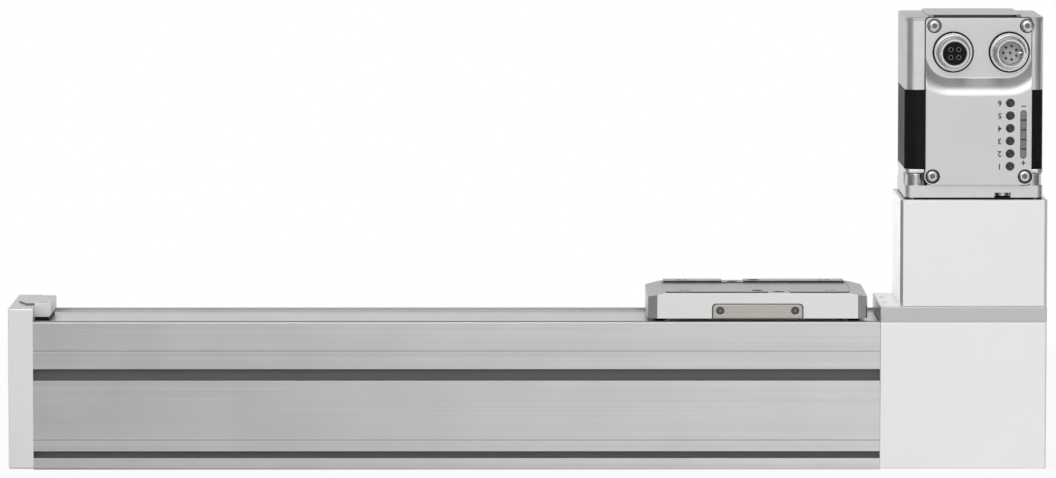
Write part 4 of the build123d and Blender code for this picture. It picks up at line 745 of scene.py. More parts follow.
class Packed:
    """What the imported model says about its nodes."""

    slots = {part["node"]: part["material_slot"] for part in frame["record"]["subparts"]}

    @staticmethod
    def box(node: str) -> tuple[Vector, Vector]:
        """Lowest and highest corner of a node."""
        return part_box(node)

    @staticmethod
    def front(node: str) -> Vector:
        """Middle of a node's front side."""
        low, high = Packed.box(node)
        return Vector(((low.x + high.x) / 2, low.y, (low.z + high.z) / 2))

    @staticmethod
    def copy(node: str, name: str) -> bpy.types.Object:
        """Copy a node's mesh, weld it and make each flat face one piece.

        Args:
            node: The node.
            name: The copy's name.

        Returns:
            The copy.
        """
        source = frame["nodes"][node]
        piece = bpy.data.objects.new(name, source.data.copy())
        bpy.context.collection.objects.link(piece)
        piece.data.materials.clear()
        Bench.only(piece)
        bpy.ops.mesh.customdata_custom_splitnormals_clear()
        with Bench.editing(piece):
            bpy.ops.mesh.remove_doubles(threshold=WELD)
            bpy.ops.mesh.dissolve_limited(angle_limit=FLAT)
        return piece

    @staticmethod
    def solids(node: str) -> list[tuple[Vector, Vector]]:
        """Find the separate solids in a node.

        Args:
            node: The node.

        Returns:
            Lowest and highest corner of each solid.
        """
        mesh = bmesh.new()
        mesh.from_mesh(frame["nodes"][node].data)
        bmesh.ops.remove_doubles(mesh, verts=mesh.verts, dist=WELD)
        left = set(mesh.verts)
        boxes = []
        while left:
            seed = min(left, key=lambda v: v.index)
            island, queue = {seed}, [seed]
            while queue:
                for edge in queue.pop().link_edges:
                    for vertex in edge.verts:
                        if vertex not in island:
                            island.add(vertex)
                            queue.append(vertex)
            left -= island
            boxes.append(corners([v.co for v in island]))
        mesh.free()
        return boxes


def hand_over(piece: bpy.types.Object, node: str, finish: Finish | None = None,
              stands_for: bool = True, angle: float | None = SMOOTH,
              body: str | None = None) -> bpy.types.Object:
    """Finish a piece and tie it to the body of the node that it belongs to.

    Args:
        piece: The modelled object.
        node: The node whose body it rides on and whose slot it takes.
        finish: Another finish than the slot's own.
        stands_for: The node is hidden behind this piece.
        angle: Faces that meet at less are shaded as one surface; none are without it.
        body: Another body than the node's own.

    Returns:
        The same object.
    """
    if angle is not None:
        Bench.shade(piece, angle)
    slot = Packed.slots[node]
    piece.data.materials.clear()
    piece.data.materials.append((finish or FINISHES[slot]).material())
    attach(piece, body or frame["nodes"][node]["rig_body"])
    if stands_for:
        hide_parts(node)
    log.info("%s: %d faces", piece.name, len(piece.data.polygons))
    return piece


@dataclass(frozen=True)
class Edges:
    """Widths of the rounding on a body's outline and on its other edges, in millimetres."""

    outline: float
    other: float


BODY_EDGES: dict[str, Edges] = {
    "profile": Edges(0.0, 0.06), "end_cap": Edges(0.3, 0.12), "strip_clamp": Edges(0.0, 0.12),
    "drive_housing": Edges(0.5, 0.12), "drive_cover": Edges(0.4, 0.12),
    "coupling_housing": Edges(0.5, 0.1), "motor_flange": Edges(0.5, 0.15),
    "electronics_housing": Edges(0.0, 0.2), "housing_lid": Edges(0.4, 0.2),
    "flange_gasket": Edges(0.0, 0.08), "slide_body": Edges(0.0, 0.04),
    "slide_plates": Edges(0.0, 0.2), "strip_jaws": Edges(0.0, 0.08),
}


@dataclass
class Housings:
    """Machined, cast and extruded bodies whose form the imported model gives: edges are broken."""

    # The profile's side slots and fine grooves: how far in their walls lie, and their heights.
    slot_edge: float = 0.15 * MM
    slot_depth: float = 5.5 * MM
    slots_above_foot: float = 1.5 * MM
    slots_below_rim: float = 4.0 * MM
    groove_edge: float = 0.01 * MM
    groove_depth: float = 0.25 * MM
    groove_shown: float = 0.1 * MM
    grooves_above_foot: float = 4.0 * MM
    grooves_below_rim: float = 6.0 * MM
    profile_rim: float = 60.0 * MM
    profile_lip: float = 28.1 * MM
    edge_tilt: float = 0.3
    # Tops, walls and broken edges of the machined bodies.
    long_edge: float = 4.0 * MM
    outline_segments: int = 4
    bare_edge_tilt: float = 0.2
    milled_depth: float = 4.0 * MM
    milled_side: float = 0.5 * MM
    milled_end: float = 1.0 * MM
    wall_tilt: float = 0.3
    lid_field: float = 1.15 * MM
    jaw_top: float = 61.6 * MM
    clamp_seat: float = -173.0 * MM
    gasket_inset: float = 0.3 * MM
    # The slide's upright corners, which get painted shade, and the black ring round its side plates,
    # which paints the shade of their joint.
    slide_corner: float = 4.0 * MM
    corner_tilt: float = 0.2
    corner_flat: float = math.radians(60)
    corner_crisp: float = math.radians(25)
    corner_reach: float = 0.1 * MM
    slide_top_tilt: float = 0.9
    plate_thickness: float = 1.0 * MM
    joint_width: float = 0.4 * MM
    joint_proud: float = 0.015 * MM
    plug_outside: float = 1.02
    plug_inside: float = 0.96

    def build(self) -> None:
        """Make all of them."""
        prepare = {
            "profile": self.flatten_grooves, "flange_gasket": self.widen_gasket,
            "slide_body": self.cut_corners, "strip_jaws": self.split_jaws,
            "strip_clamp": self.split_clamp,
        }
        own_finish = {"housing_lid": LID_CAST_AND_END_SHADE}
        own_angle = {"slide_body": self.corner_crisp}
        face_finishes = self.face_finishes()
        for node, width in BODY_EDGES.items():
            piece = Packed.copy(node, node + "_form")
            if node in prepare:
                prepare[node](piece)
            if width.outline:
                self.round_outline(piece, width.outline * MM)
            Bench.soften(piece, width.other * MM)
            hand_over(piece, node, own_finish.get(node), angle=own_angle.get(node, SMOOTH))
            for finish, test in face_finishes.get(node, []):
                Bench.second_finish(piece, finish, test)
            if node == "slide_plates":
                self.plate_joint()

    def face_finishes(self) -> dict[str, list[tuple[Finish, FaceTest]]]:
        """Say which faces of the bodies have another finish.

        Returns:
            For each body, the other finishes in order, each with the test for its faces.
        """
        return {
            "profile": [(SLOT_PAINTED_SHADE, self.in_slot()), (GROOVE_PAINTED_SHADE, self.in_groove()),
                        (PROFILE_TOP_SHADE, self.on_profile_top)],
            "end_cap": [(SIDE_EDGE_SHADE, self.broken_edge(Axis.X)), (MILLED_SHADE, self.milled("end_cap")),
                        (CAP_TOP_SHADE, facing(Axis.Z))],
            "strip_clamp": [(CAP_TOP_SHADE, facing(Axis.Z)), (SLOT_PAINTED_SHADE, self.on_clamp_arm)],
            "drive_housing": [(SIDE_EDGE_SHADE, self.broken_edge(Axis.LEFT))],
            "drive_cover": [(PAINTED_LIGHT_FACES, facing(Axis.Z))],
            "coupling_housing": [(SIDE_EDGE_SHADE, self.broken_edge(Axis.LEFT)),
                                 (PAINTED_LIGHT_FACES, facing(Axis.LEFT))],
            "electronics_housing": [(LID_CAST_AND_END_SHADE, self.on_end)],
            "housing_lid": [(MILLED_SHADE, self.on_field_wall())],
            "slide_body": [(MILLED_TOP_SHADE, facing(Axis.Z, self.slide_top_tilt)),
                           (SLIDE_CORNER_SHADE, self.on_slide_corner),
                           (MILLED_SHADE, self.milled("slide_body"))],
            "strip_jaws": [(FINISHES["light_coating"], self.above_strip)],
        }

    def in_slot(self) -> FaceTest:
        """A test for the faces deep in the side slots, which get painted shade as little light gets
        there.

        Returns:
            The test, called with a face's centre and normal.
        """
        low, high = Packed.box("profile")
        return lambda place, normal: (
            self.slot_edge < high.y - abs(place.y) < self.slot_depth
            and low.z + self.slots_above_foot < place.z < high.z - self.slots_below_rim
            and abs(normal.x) < HALF_TURNED)

    def in_groove(self) -> FaceTest:
        """A test for the faces in the fine guide grooves, which get painted shade.

        Returns:
            The test, called with a face's centre and normal.
        """
        low, high = Packed.box("profile")
        return lambda place, normal: (
            self.groove_edge < high.y - abs(place.y) < self.slot_edge
            and low.z + self.grooves_above_foot < place.z < high.z - self.grooves_below_rim
            and abs(normal.x) < HALF_TURNED)

    def on_profile_top(self, place: Vector, normal: Vector) -> bool:
        """The face is on the profile's rim or on the wall inside it, which get painted shade."""
        upper = normal.z > self.edge_tilt or abs(place.y) < self.profile_lip
        return upper and place.z > self.profile_rim

    def broken_edge(self, axis: Axis) -> FaceTest:
        """A test for the broken edges on one side of a body, which get painted shade.

        Args:
            axis: The way that this side looks.

        Returns:
            The test, called with a face's centre and normal.
        """
        return lambda place, normal: (
            normal.dot(axis.vector) > self.bare_edge_tilt
            and max(abs(part) for part in normal) < SQUARE)

    def milled(self, node: str) -> FaceTest:
        """A test for upright walls in a body's top: ribs, holes and pockets, which get painted shade.

        Args:
            node: The body.

        Returns:
            The test, called with a face's centre and normal.
        """
        low, high = Packed.box(node)

        def is_milled(place: Vector, normal: Vector) -> bool:
            """The face is a wall near the top, off the outer sides."""
            inside = (abs(place.y) < high.y - self.milled_side
                      and low.x + self.milled_end < place.x < high.x - self.milled_end)
            return inside and place.z > high.z - self.milled_depth and abs(normal.z) < self.wall_tilt

        return is_milled

    def on_field_wall(self) -> FaceTest:
        """A test for the front wall of the lid's raised field, which gets painted shade.

        Returns:
            The test, called with a face's centre and normal.
        """
        high = Packed.box("housing_lid")[1]
        return lambda place, normal: (
            normal.y < -HALF_TURNED and place.z > high.z - self.lid_field
            and abs(normal.x) < HALF_TURNED)

    def on_clamp_arm(self, place: Vector, normal: Vector) -> bool:
        """The face is an upright wall of the strip clamp's arms, sunk in the cap, which gets painted
        shade.
        """
        return place.x < self.clamp_seat and abs(normal.z) < HALF_TURNED

    def on_end(self, place: Vector, normal: Vector) -> bool:
        """The face looks to the left or right; on the electronics housing these ends get painted
        shade.
        """
        return abs(normal.x) > SQUARE

    def on_slide_corner(self, place: Vector, normal: Vector) -> bool:
        """The face is part of an upright corner of the slide, which gets painted shade."""
        across = self.wall_tilt < abs(normal.x) < SQUARE
        return across and abs(normal.y) > self.corner_tilt and abs(normal.z) < self.wall_tilt

    def above_strip(self, place: Vector, normal: Vector) -> bool:
        """The face is on the part of a strip jaw that stands over the strip."""
        return place.z > self.jaw_top

    def split_jaws(self, jaws: bpy.types.Object) -> None:
        """Split the faces of the strip jaws where they rise over the strip."""
        with Bench.editing(jaws):
            bpy.ops.mesh.bisect(plane_co=(0, 0, self.jaw_top), plane_no=(0, 0, 1))

    def split_clamp(self, clamp: bpy.types.Object) -> None:
        """Split the faces of the strip clamp where its arms enter the cap."""
        with Bench.editing(clamp):
            bpy.ops.mesh.bisect(plane_co=(self.clamp_seat, 0, 0), plane_no=(1, 0, 0))

    def plate_joint(self) -> None:
        """Black ring round each side plate of the slide, which paints the shade of its joint."""
        low, high = Packed.box("slide_plates")
        size = high - low
        middle = high.y - self.plate_thickness / 2
        foot = Vector(((low.x + high.x) / 2, 0, low.z))
        joint = Packed.copy("slide_plates", "slide_plates_joint")
        Bench.resize(joint, foot, (1 + 2 * self.joint_width / size.x,
                                   1 + 2 * self.joint_proud / size.y,
                                   1 + self.joint_width / size.z))
        plug = Packed.copy("slide_plates", "plug")
        with Bench.editing(plug):
            for outside, ratio in ((True, self.plug_outside), (False, self.plug_inside)):
                Bench.select(plug, "VERT", lambda v: (abs(v.co.y) > middle) == outside)
                bpy.ops.transform.resize(value=(1, ratio, 1), center_override=(0, 0, 0))
        Bench.cut(joint, plug)
        hand_over(joint, "slide_plates", INK_AND_SHADE, stands_for=False)

    def round_outline(self, piece: bpy.types.Object, width: float) -> None:
        """Round the long edges that lie on two planes of the piece's box.

        Args:
            piece: The body.
            width: Width of the rounding, in metres.
        """
        low, high = Bench.reach(piece)

        def on_outline(edge: bmesh.types.BMEdge) -> bool:
            """The edge is straight, long and on two box planes."""
            ends = [v.co for v in edge.verts]
            planes = sum(all(abs(e[i] - limit[i]) < WELD for e in ends)
                         for i in range(3) for limit in (low, high))
            return planes >= 2 and edge.calc_length() > self.long_edge

        with Bench.editing(piece):
            if Bench.select(piece, "EDGE", on_outline):
                bpy.ops.mesh.bevel(offset=width, segments=self.outline_segments, profile=0.5)

    def cut_corners(self, slide: bpy.types.Object) -> None:
        """Flatten the start of each upright corner, so that it begins with a crisp edge.

        Args:
            slide: The slide's body.
        """
        low, high = Bench.reach(slide)
        middle = (low.x + high.x) / 2
        inset = high.x - middle - self.slide_corner
        lean = self.corner_flat / 2

        def on_start(place: Vector) -> bool:
            """The point lies on the line where a corner begins."""
            aside = abs(abs(place.x - middle) - inset)
            return aside < self.corner_reach and high.y - abs(place.y) < WELD

        with Bench.editing(slide):
            for side_x, side_y in product((-1, 1), repeat=2):
                way = Vector((side_x * math.sin(lean), side_y * math.cos(lean), 0))
                begin = Vector((middle + side_x * inset, side_y * high.y, 0)) - way * WELD
                bpy.ops.mesh.select_all(action="SELECT")
                bpy.ops.mesh.bisect(plane_co=begin, plane_no=way, clear_outer=True, use_fill=True)
            if Bench.select(slide, "EDGE", lambda e: all(on_start(v.co) for v in e.verts)):
                bpy.ops.mesh.mark_sharp()

    def widen_gasket(self, gasket: bpy.types.Object) -> None:
        """Let the gasket reach nearly to the flange's outline.

        Args:
            gasket: The gasket under the motor flange.
        """
        low, high = Bench.reach(gasket)
        size = high - low
        flange_low, flange_high = Packed.box("motor_flange")
        aim = flange_high - flange_low - Vector((1, 1, 0)) * 2 * self.gasket_inset
        factors = (max(1, aim.x / size.x), max(1, aim.y / size.y), 1)
        Bench.resize(gasket, (low + high) / 2, factors)

    def flatten_grooves(self, profile: bpy.types.Object) -> None:
        """Raise the floors of the fine guide grooves, so that they show as thin lines.

        Args:
            profile: The extruded profile.
        """
        high = Bench.reach(profile)[1]
        floor = high.y - self.groove_depth
        ratio = (high.y - self.groove_shown) / floor
        with Bench.editing(profile):
            Bench.select(profile, "VERT", lambda v: abs(abs(v.co.y) - floor) < WELD)
            bpy.ops.transform.resize(value=(1, ratio, 1), center_override=(0, 0, 0))


@dataclass
class CoverStrip:
    """Steel strip: flat along the profile, and the stretch that the slide lifts."""

    thickness: float = 0.3 * MM
    edge: float = 0.06 * MM
    lift_reach: float = 41.0 * MM

    def build(self) -> None:
        """Make the flat strip and the lifted stretch."""
        low, high = Packed.box("cover_strip")
        top = Vector((high.x, high.y, low.z + self.thickness))
        flat = Bench.block("cover_strip_flat", low, top)
        Bench.soften(flat, self.edge)
        hand_over(flat, "cover_strip")
        slide_low, slide_high = Packed.box("slide_body")
        middle = (slide_low.x + slide_high.x) / 2
        lifted = Packed.copy("cover_strip", "cover_strip_lifted")
        for side in (-1, 1):
            with Bench.editing(lifted):
                bpy.ops.mesh.bisect(plane_co=(middle + side * self.lift_reach, 0, 0),
                                    plane_no=(side, 0, 0), clear_outer=True, use_fill=True)
        hand_over(lifted, "cover_strip", body="slide")


@dataclass
class ScrewSet:
    """Screws of one kind in a node. Sizes are in millimetres."""

    node: str
    axis: Axis
    head_radius: float
    head: float
    shank_radius: float
    recess: float
    star: bool = False
    edge: float = 0.3
    both_ways: bool = False
    least_length: float = 0.0
    most_length: float = 100.0
    # Outer radius of a dark ring under each head, which paints the shade round it; none at zero.
    washer: float = 0.0
    finish: Finish | None = None
    sides: int = 40
    edge_steps: int = 4
    # Shares of the shank's radius: the tip's radius and length.
    tip: float = 0.8
    tip_length: float = 0.2
    # Points of a recess, and a star recess's share of the radius between them.
    star_points: int = 6
    socket_points: int = 3
    star_waist: float = 0.74
    # Shares of the head's height: the recess's floor and the top of its cutting tool.
    recess_floor: float = 0.35
    recess_top: float = 1.5
    # A shade ring's inner radius as a share of the head's, its height as a share of the head's; the
    # ring is painted shade round a head.
    washer_bore: float = 0.9
    washer_height: float = 0.12
    # How near the recess's walls and the head's top a recess face may lie, as shares.
    recess_reach: float = 1.02
    below_top: float = 0.97

    def build(self) -> None:
        """Copy the screw to each of its places."""
        copies = []
        seats = []
        for low, high in Packed.solids(self.node):
            along = abs((high - low).dot(self.axis.vector))
            if not self.least_length * MM <= along <= self.most_length * MM:
                continue
            seat, way = self.seat(low, high)
            screw = self.template(along - self.head * MM)
            placement = Matrix.Translation(seat) @ turn_to(way)
            copies.append(Bench.copy_of(screw, placement, "screw_copy"))
            seats.append((seat, way))
            bpy.data.objects.remove(screw)
        group = Bench.join(f"{self.node}_{round(self.head_radius * 10)}", copies)
        hand_over(group, self.node, self.finish)
        # Painted shade in the head recesses.
        Bench.second_finish(group, RECESS_SHADE, lambda place, normal: any(
            self.in_recess(place - seat, way) for seat, way in seats))
        # Painted shade: a dark ring round each head.
        if self.washer:
            rings = [self.washer_ring(seat, way) for seat, way in seats]
            hand_over(Bench.join(self.node + "_shade_rings", rings), self.node, INK_AND_SHADE, stands_for=False)

    def seat(self, low: Vector, high: Vector) -> tuple[Vector, Vector]:
        """Find how a screw stands in its box.

        Args:
            low: Lowest corner of its box.
            high: Highest corner.

        Returns:
            The place under its head's middle, and the way that its head points.
        """
        axis = self.axis.vector
        centre = (low + high) / 2
        along = abs((high - low).dot(axis))
        forward = not self.both_ways or centre.dot(axis) > self.turning_point()
        way = axis if forward else -axis
        return centre + way * (along / 2 - self.head * MM), way

    def turning_point(self) -> float:
        """Where screws change their way, along the axis."""
        low, high = Packed.box(self.node)
        return ((low + high) / 2).dot(self.axis.vector)

    def template(self, length: float) -> bpy.types.Object:
        """One screw with its head's underside at the origin.

        Args:
            length: Shank length in metres.

        Returns:
            The screw, its head pointing to +Z.
        """
        head = self.head * MM
        radius = self.head_radius * MM
        shank = self.shank_radius * MM
        edge = self.edge * MM
        outline = [(shank * self.tip, -length), (shank, -length + self.tip_length * shank),
                   (shank, 0.0), (radius, 0.0)]
        for i in range(self.edge_steps + 1):
            turn = math.pi / 2 * i / self.edge_steps
            outline.append((radius - edge * (1 - math.cos(turn)),
                            head - edge * (1 - math.sin(turn))))
        screw = Bench.turned("screw", outline, Vector(), Axis.Z.vector, self.sides)
        recess = self.recess * MM
        inner = recess * (self.star_waist if self.star else math.cos(math.pi / 6))
        points = self.star_points if self.star else self.socket_points
        Bench.cut(screw, Bench.prism("recess", points, (recess, inner),
                                     (self.recess_floor * head, self.recess_top * head)))
        return screw

    def washer_ring(self, seat: Vector, way: Vector) -> bpy.types.Object:
        """Thin dark ring under a head, which paints the shade round it.

        Args:
            seat: The place under the head's middle.
            way: The way that the head points.

        Returns:
            The washer.
        """
        inner, outer = self.washer_bore * self.head_radius * MM, self.washer * MM
        height = self.washer_height * self.head * MM
        outline = [(inner, 0.0), (outer, 0.0), (outer, height), (inner, height), (inner, 0.0)]
        return Bench.turned("washer", outline, seat, way, self.sides, True)

    def in_recess(self, offset: Vector, way: Vector) -> bool:
        """Test whether a face lies in a head's recess.

        Args:
            offset: The face's centre, counted from under the head's middle.
            way: The way that the head points.

        Returns:
            True where it does.
        """
        height = offset.dot(way)
        aside = (offset - way * height).length
        inside = 0 < height < self.below_top * self.head * MM
        return inside and aside < self.recess_reach * self.recess * MM


@dataclass
class Stator:
    """Stacked sheets with cut corners round a black core."""

    pitch: float = 0.62 * MM
    sheet: float = 0.4 * MM
    corner: float = 4.5 * MM
    setback: float = 0.5 * MM
    edge: float = 0.05 * MM
    bore: float = 14.5 * MM
    side_tilt: float = 0.9

    def build(self) -> None:
        """Make one sheet, stack it and put it round the core."""
        low, high = Packed.box("stator")
        centre = (low + high) / 2
        count = round((high.z - low.z) / self.pitch)
        step = (high.z - low.z) / count
        plate = Bench.block("sheet", low, Vector((high.x, high.y, low.z + self.sheet)))
        self.cut_corners(plate)
        hole = Bench.turned("bore", [(self.bore, low.z - self.pitch), (self.bore, high.z)],
                            Vector((centre.x, centre.y, 0)), Axis.Z.vector)
        Bench.cut(plate, hole)
        Bench.soften(plate, self.edge)
        Bench.modify(plate, "ARRAY", count=count, use_relative_offset=False,
                     use_constant_offset=True, constant_offset_displace=(0, 0, step))
        core = Packed.copy("stator", "core")
        factor = 1 - 2 * self.setback / (high.x - low.x)
        Bench.resize(core, centre, (factor, factor, 1))
        stack = hand_over(Bench.join("stator_stack", [core, plate]), "stator")
        Bench.second_finish(stack, SHEET_SIDE_SHEEN, self.on_side)

    def on_side(self, place: Vector, normal: Vector) -> bool:
        """The face looks to the left or right; these sides of the stack get a painted sheen."""
        return abs(normal.x) > self.side_tilt

    def cut_corners(self, plate: bpy.types.Object) -> None:
        """Bevel the upright edges of a sheet.

        Args:
            plate: The sheet.
        """
        with Bench.editing(plate):
            Bench.select(plate, "EDGE",
                         lambda e: abs(e.verts[0].co.z - e.verts[1].co.z) > self.sheet / 2)
            bpy.ops.mesh.bevel(offset=self.corner * math.sqrt(2), offset_type="WIDTH", segments=1)


@dataclass
class Connector:
    """Round plug connector: flange, threaded barrel and its insert. Sizes in millimetres."""

    shell_node: str
    insert_node: str
    contacts: int
    sockets: bool
    # Barrel: its bore with a bevelled mouth, its front and its thread.
    barrel_radius: float = 6.2
    bore: float = 4.75
    mouth: float = 0.35
    front_bevel: float = 0.2
    front_lead: float = 0.3
    thread_depth: float = 0.35
    thread_pitch: float = 1.0
    thread_start: float = 0.5
    thread_rise: float = 0.3
    thread_crest: float = 0.2
    thread_fall: float = 0.4
    thread_clear: float = 2.2
    thread_end: float = 0.5
    # Flange: a groove round the barrel's foot, a rim and a bevelled edge.
    flange_radius: float = 7.8
    flange_thickness: float = 2.2
    foot_rise: float = 0.4
    groove_radius: float = 6.6
    groove_depth: float = 0.25
    rim_radius: float = 7.0
    rim_proud: float = 0.35
    flange_bevel: float = 0.15
    bevel_depth: float = 0.25
    tail_radius: float = 6.0
    tail: float = 8.0
    notch: tuple[float, float, float] = (0.55, 0.6, 0.5)
    notch_inset: float = 0.35
    notch_lead: float = 0.6
    seal_overlap: float = 0.1
    seal_width: float = 0.5
    seal_height: float = 0.3
    # Insert with contact holes.
    socket_bevel: float = 0.3
    contact_circle: float = 2.25
    contact_radius: float = 0.7
    contact_depth: float = 4.0
    first_contact: float = 45.0
    contact_rim: float = 0.22
    contact_rim_foot: float = 0.3
    contact_rim_proud: float = 0.12
    contact_rim_sunk: float = 0.1
    # Insert with pins and a key rib.
    pin_circle: float = 2.75
    pin_radius: float = 0.45
    pin_length: float = 2.4
    pin_rooted: float = 0.5
    floor_bevel: float = 0.2
    rib_thickness: float = 1.25
    rib_gap: float = 0.05
    rib_length: float = 3.6
    rib_rooted: float = 0.5
    rib_half_width: float = 0.5
    rib_edge: float = 0.15
    shell_sides: int = 64
    insert_sides: int = 48
    contact_sides: int = 24
    pin_sides: int = 16
    # Middle of the shell's front and the shell's length, in metres.
    place: Vector = field(init=False)
    length: float = field(init=False)

    def __post_init__(self) -> None:
        """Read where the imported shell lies."""
        low, high = Packed.box(self.shell_node)
        self.place = Packed.front(self.shell_node)
        self.length = high.y - low.y

    def build(self) -> None:
        """Make the shell and the insert."""
        hand_over(self.shell(), self.shell_node)
        hand_over(self.seal(), "flange_gasket", stands_for=False)
        if self.sockets:
            self.socket_insert()
        else:
            self.pin_insert()

    def shell(self) -> bpy.types.Object:
        """Turned shell with a thread, a coned flange and two small notches.

        Returns:
            The shell.
        """
        length = self.length / MM
        back = length - self.tail
        face = back - self.flange_thickness
        root = self.barrel_radius - self.thread_depth
        outline = [(self.bore, self.mouth), (self.bore + self.mouth, 0.0),
                   (root - self.front_bevel, 0.0), (root, self.front_lead)]
        for i in range(math.floor((face - self.thread_clear) / self.thread_pitch)):
            crest = self.thread_start + i * self.thread_pitch + self.thread_rise
            fall = crest + self.thread_crest
            outline += [(self.barrel_radius, crest), (self.barrel_radius, fall),
                        (root, fall + self.thread_fall)]
        rim = face - self.rim_proud
        outline += [(root, face - self.thread_end), (root + self.foot_rise, face),
                    (self.groove_radius, face + self.groove_depth), (self.rim_radius, rim),
                    (self.flange_radius - self.flange_bevel, rim),
                    (self.flange_radius, rim + self.bevel_depth), (self.flange_radius, back),
                    (self.tail_radius, back), (self.tail_radius, length),
                    (self.bore, length), (self.bore, self.mouth)]
        stations = [(r * MM, h * MM) for r, h in outline]
        shell = Bench.turned("connector_shell", stations, self.place, Axis.Y.vector,
                             self.shell_sides, True)
        half = Vector(self.notch) * MM
        for side in (-1, 1):
            aside = side * (self.flange_radius - self.notch_inset) * MM
            spot = self.place + Vector((0, (face - self.notch_lead) * MM, aside))
            Bench.cut(shell, Bench.block("notch", spot - half, spot + half))
        shell.name = self.shell_node + "_turned"
        return shell

    def seal(self) -> bpy.types.Object:
        """Thin black ring round the flange, a seal whose rim paints a dark shade line round it.

        Returns:
            The ring.
        """
        inner = (self.flange_radius - self.seal_overlap) * MM
        outer = (self.flange_radius + self.seal_width) * MM
        back = self.length - self.tail * MM
        front = back - self.seal_height * MM
        outline = [(inner, back), (inner, front), (outer, front), (outer, back), (inner, back)]
        return Bench.turned(self.shell_node + "_seal", outline, self.place, Axis.Y.vector,
                            self.shell_sides, True)

    def ring_places(self, count: int, circle: float, first: float) -> list[Vector]:
        """Places on a circle round the connector's axis.

        Args:
            count: How many.
            circle: The circle's radius, in millimetres.
            first: The first one's angle, in degrees.

        Returns:
            Their offsets from the axis, in metres.
        """
        angles = [math.radians(first + 360 / count * i) for i in range(count)]
        return [Vector((math.cos(a), 0, math.sin(a))) * circle * MM for a in angles]

    def moulded(self, front: Vector, back: float, radius: float,
                bevel: float) -> bpy.types.Object:
        """Turned body of the insert. Sizes are in metres.

        Args:
            front: Middle of its front face.
            back: Where it ends on Y.
            radius: Its radius.
            bevel: Width of its front bevel.

        Returns:
            The body.
        """
        outline = [(radius - bevel, 0.0), (radius, bevel), (radius, back - front.y)]
        return Bench.turned(self.insert_node + "_moulded", outline, front, Axis.Y.vector,
                            self.insert_sides)

    def socket_insert(self) -> None:
        """Black insert with rimmed contact holes."""
        low, high = Packed.box(self.insert_node)
        front = Vector((self.place.x, low.y, self.place.z))
        insert = self.moulded(front, high.y, (high.x - low.x) / 2, self.socket_bevel * MM)
        contact = self.contact_radius * MM
        proud, sunk = -self.contact_rim_proud * MM, self.contact_rim_sunk * MM
        ring = [(contact, sunk), (contact, proud), (contact + self.contact_rim * MM, proud),
                (contact + self.contact_rim_foot * MM, sunk), (contact, sunk)]
        rims = []
        for offset in self.ring_places(self.contacts, self.contact_circle, self.first_contact):
            hole = Bench.turned("hole", [(contact, -MM), (contact, self.contact_depth * MM)],
                                front + offset, Axis.Y.vector, self.contact_sides)
            Bench.cut(insert, hole)
            rims.append(Bench.turned("rim", ring, front + offset, Axis.Y.vector,
                                     self.contact_sides, True))
        hand_over(insert, self.insert_node)
        # The contact rims are painted shade.
        hand_over(Bench.join(self.insert_node + "_contacts", rims), self.shell_node, RECESS_SHADE,
                  stands_for=False)

    def pin_insert(self) -> None:
        """Light insert in the barrel, with a ring of pins, a centre pin and a key rib."""
        low, high = Packed.box(self.insert_node)
        radius = (high.x - low.x) / 2
        pin_length = self.pin_length * MM
        floor = Vector((self.place.x, low.y + pin_length, self.place.z))
        insert = self.moulded(floor, high.y, radius, self.floor_bevel * MM)
        hand_over(insert, self.insert_node)
        outer = radius - self.rib_gap * MM
        width = self.rib_half_width * MM
        rib = Bench.block(
            self.shell_node + "_key_rib",
            floor + Vector((outer - self.rib_thickness * MM, -self.rib_length * MM, -width)),
            floor + Vector((outer, self.rib_rooted * MM, width)))
        Bench.soften(rib, self.rib_edge * MM)
        hand_over(rib, self.shell_node, stands_for=False)
        pin = self.pin_radius * MM
        outline = [(pin / 2, 0.0), (pin, pin / 2), (pin, pin_length + self.pin_rooted * MM)]
        offsets = self.ring_places(self.contacts, self.pin_circle, 180 / self.contacts)
        tip = floor - Vector((0, pin_length, 0))
        pins = [Bench.turned("pin", outline, tip + offset, Axis.Y.vector, self.pin_sides)
                for offset in [Vector()] + offsets]
        hand_over(Bench.join(self.insert_node + "_pins", pins), self.insert_node, PIN_PAINTED_SHADE,
                  stands_for=False)


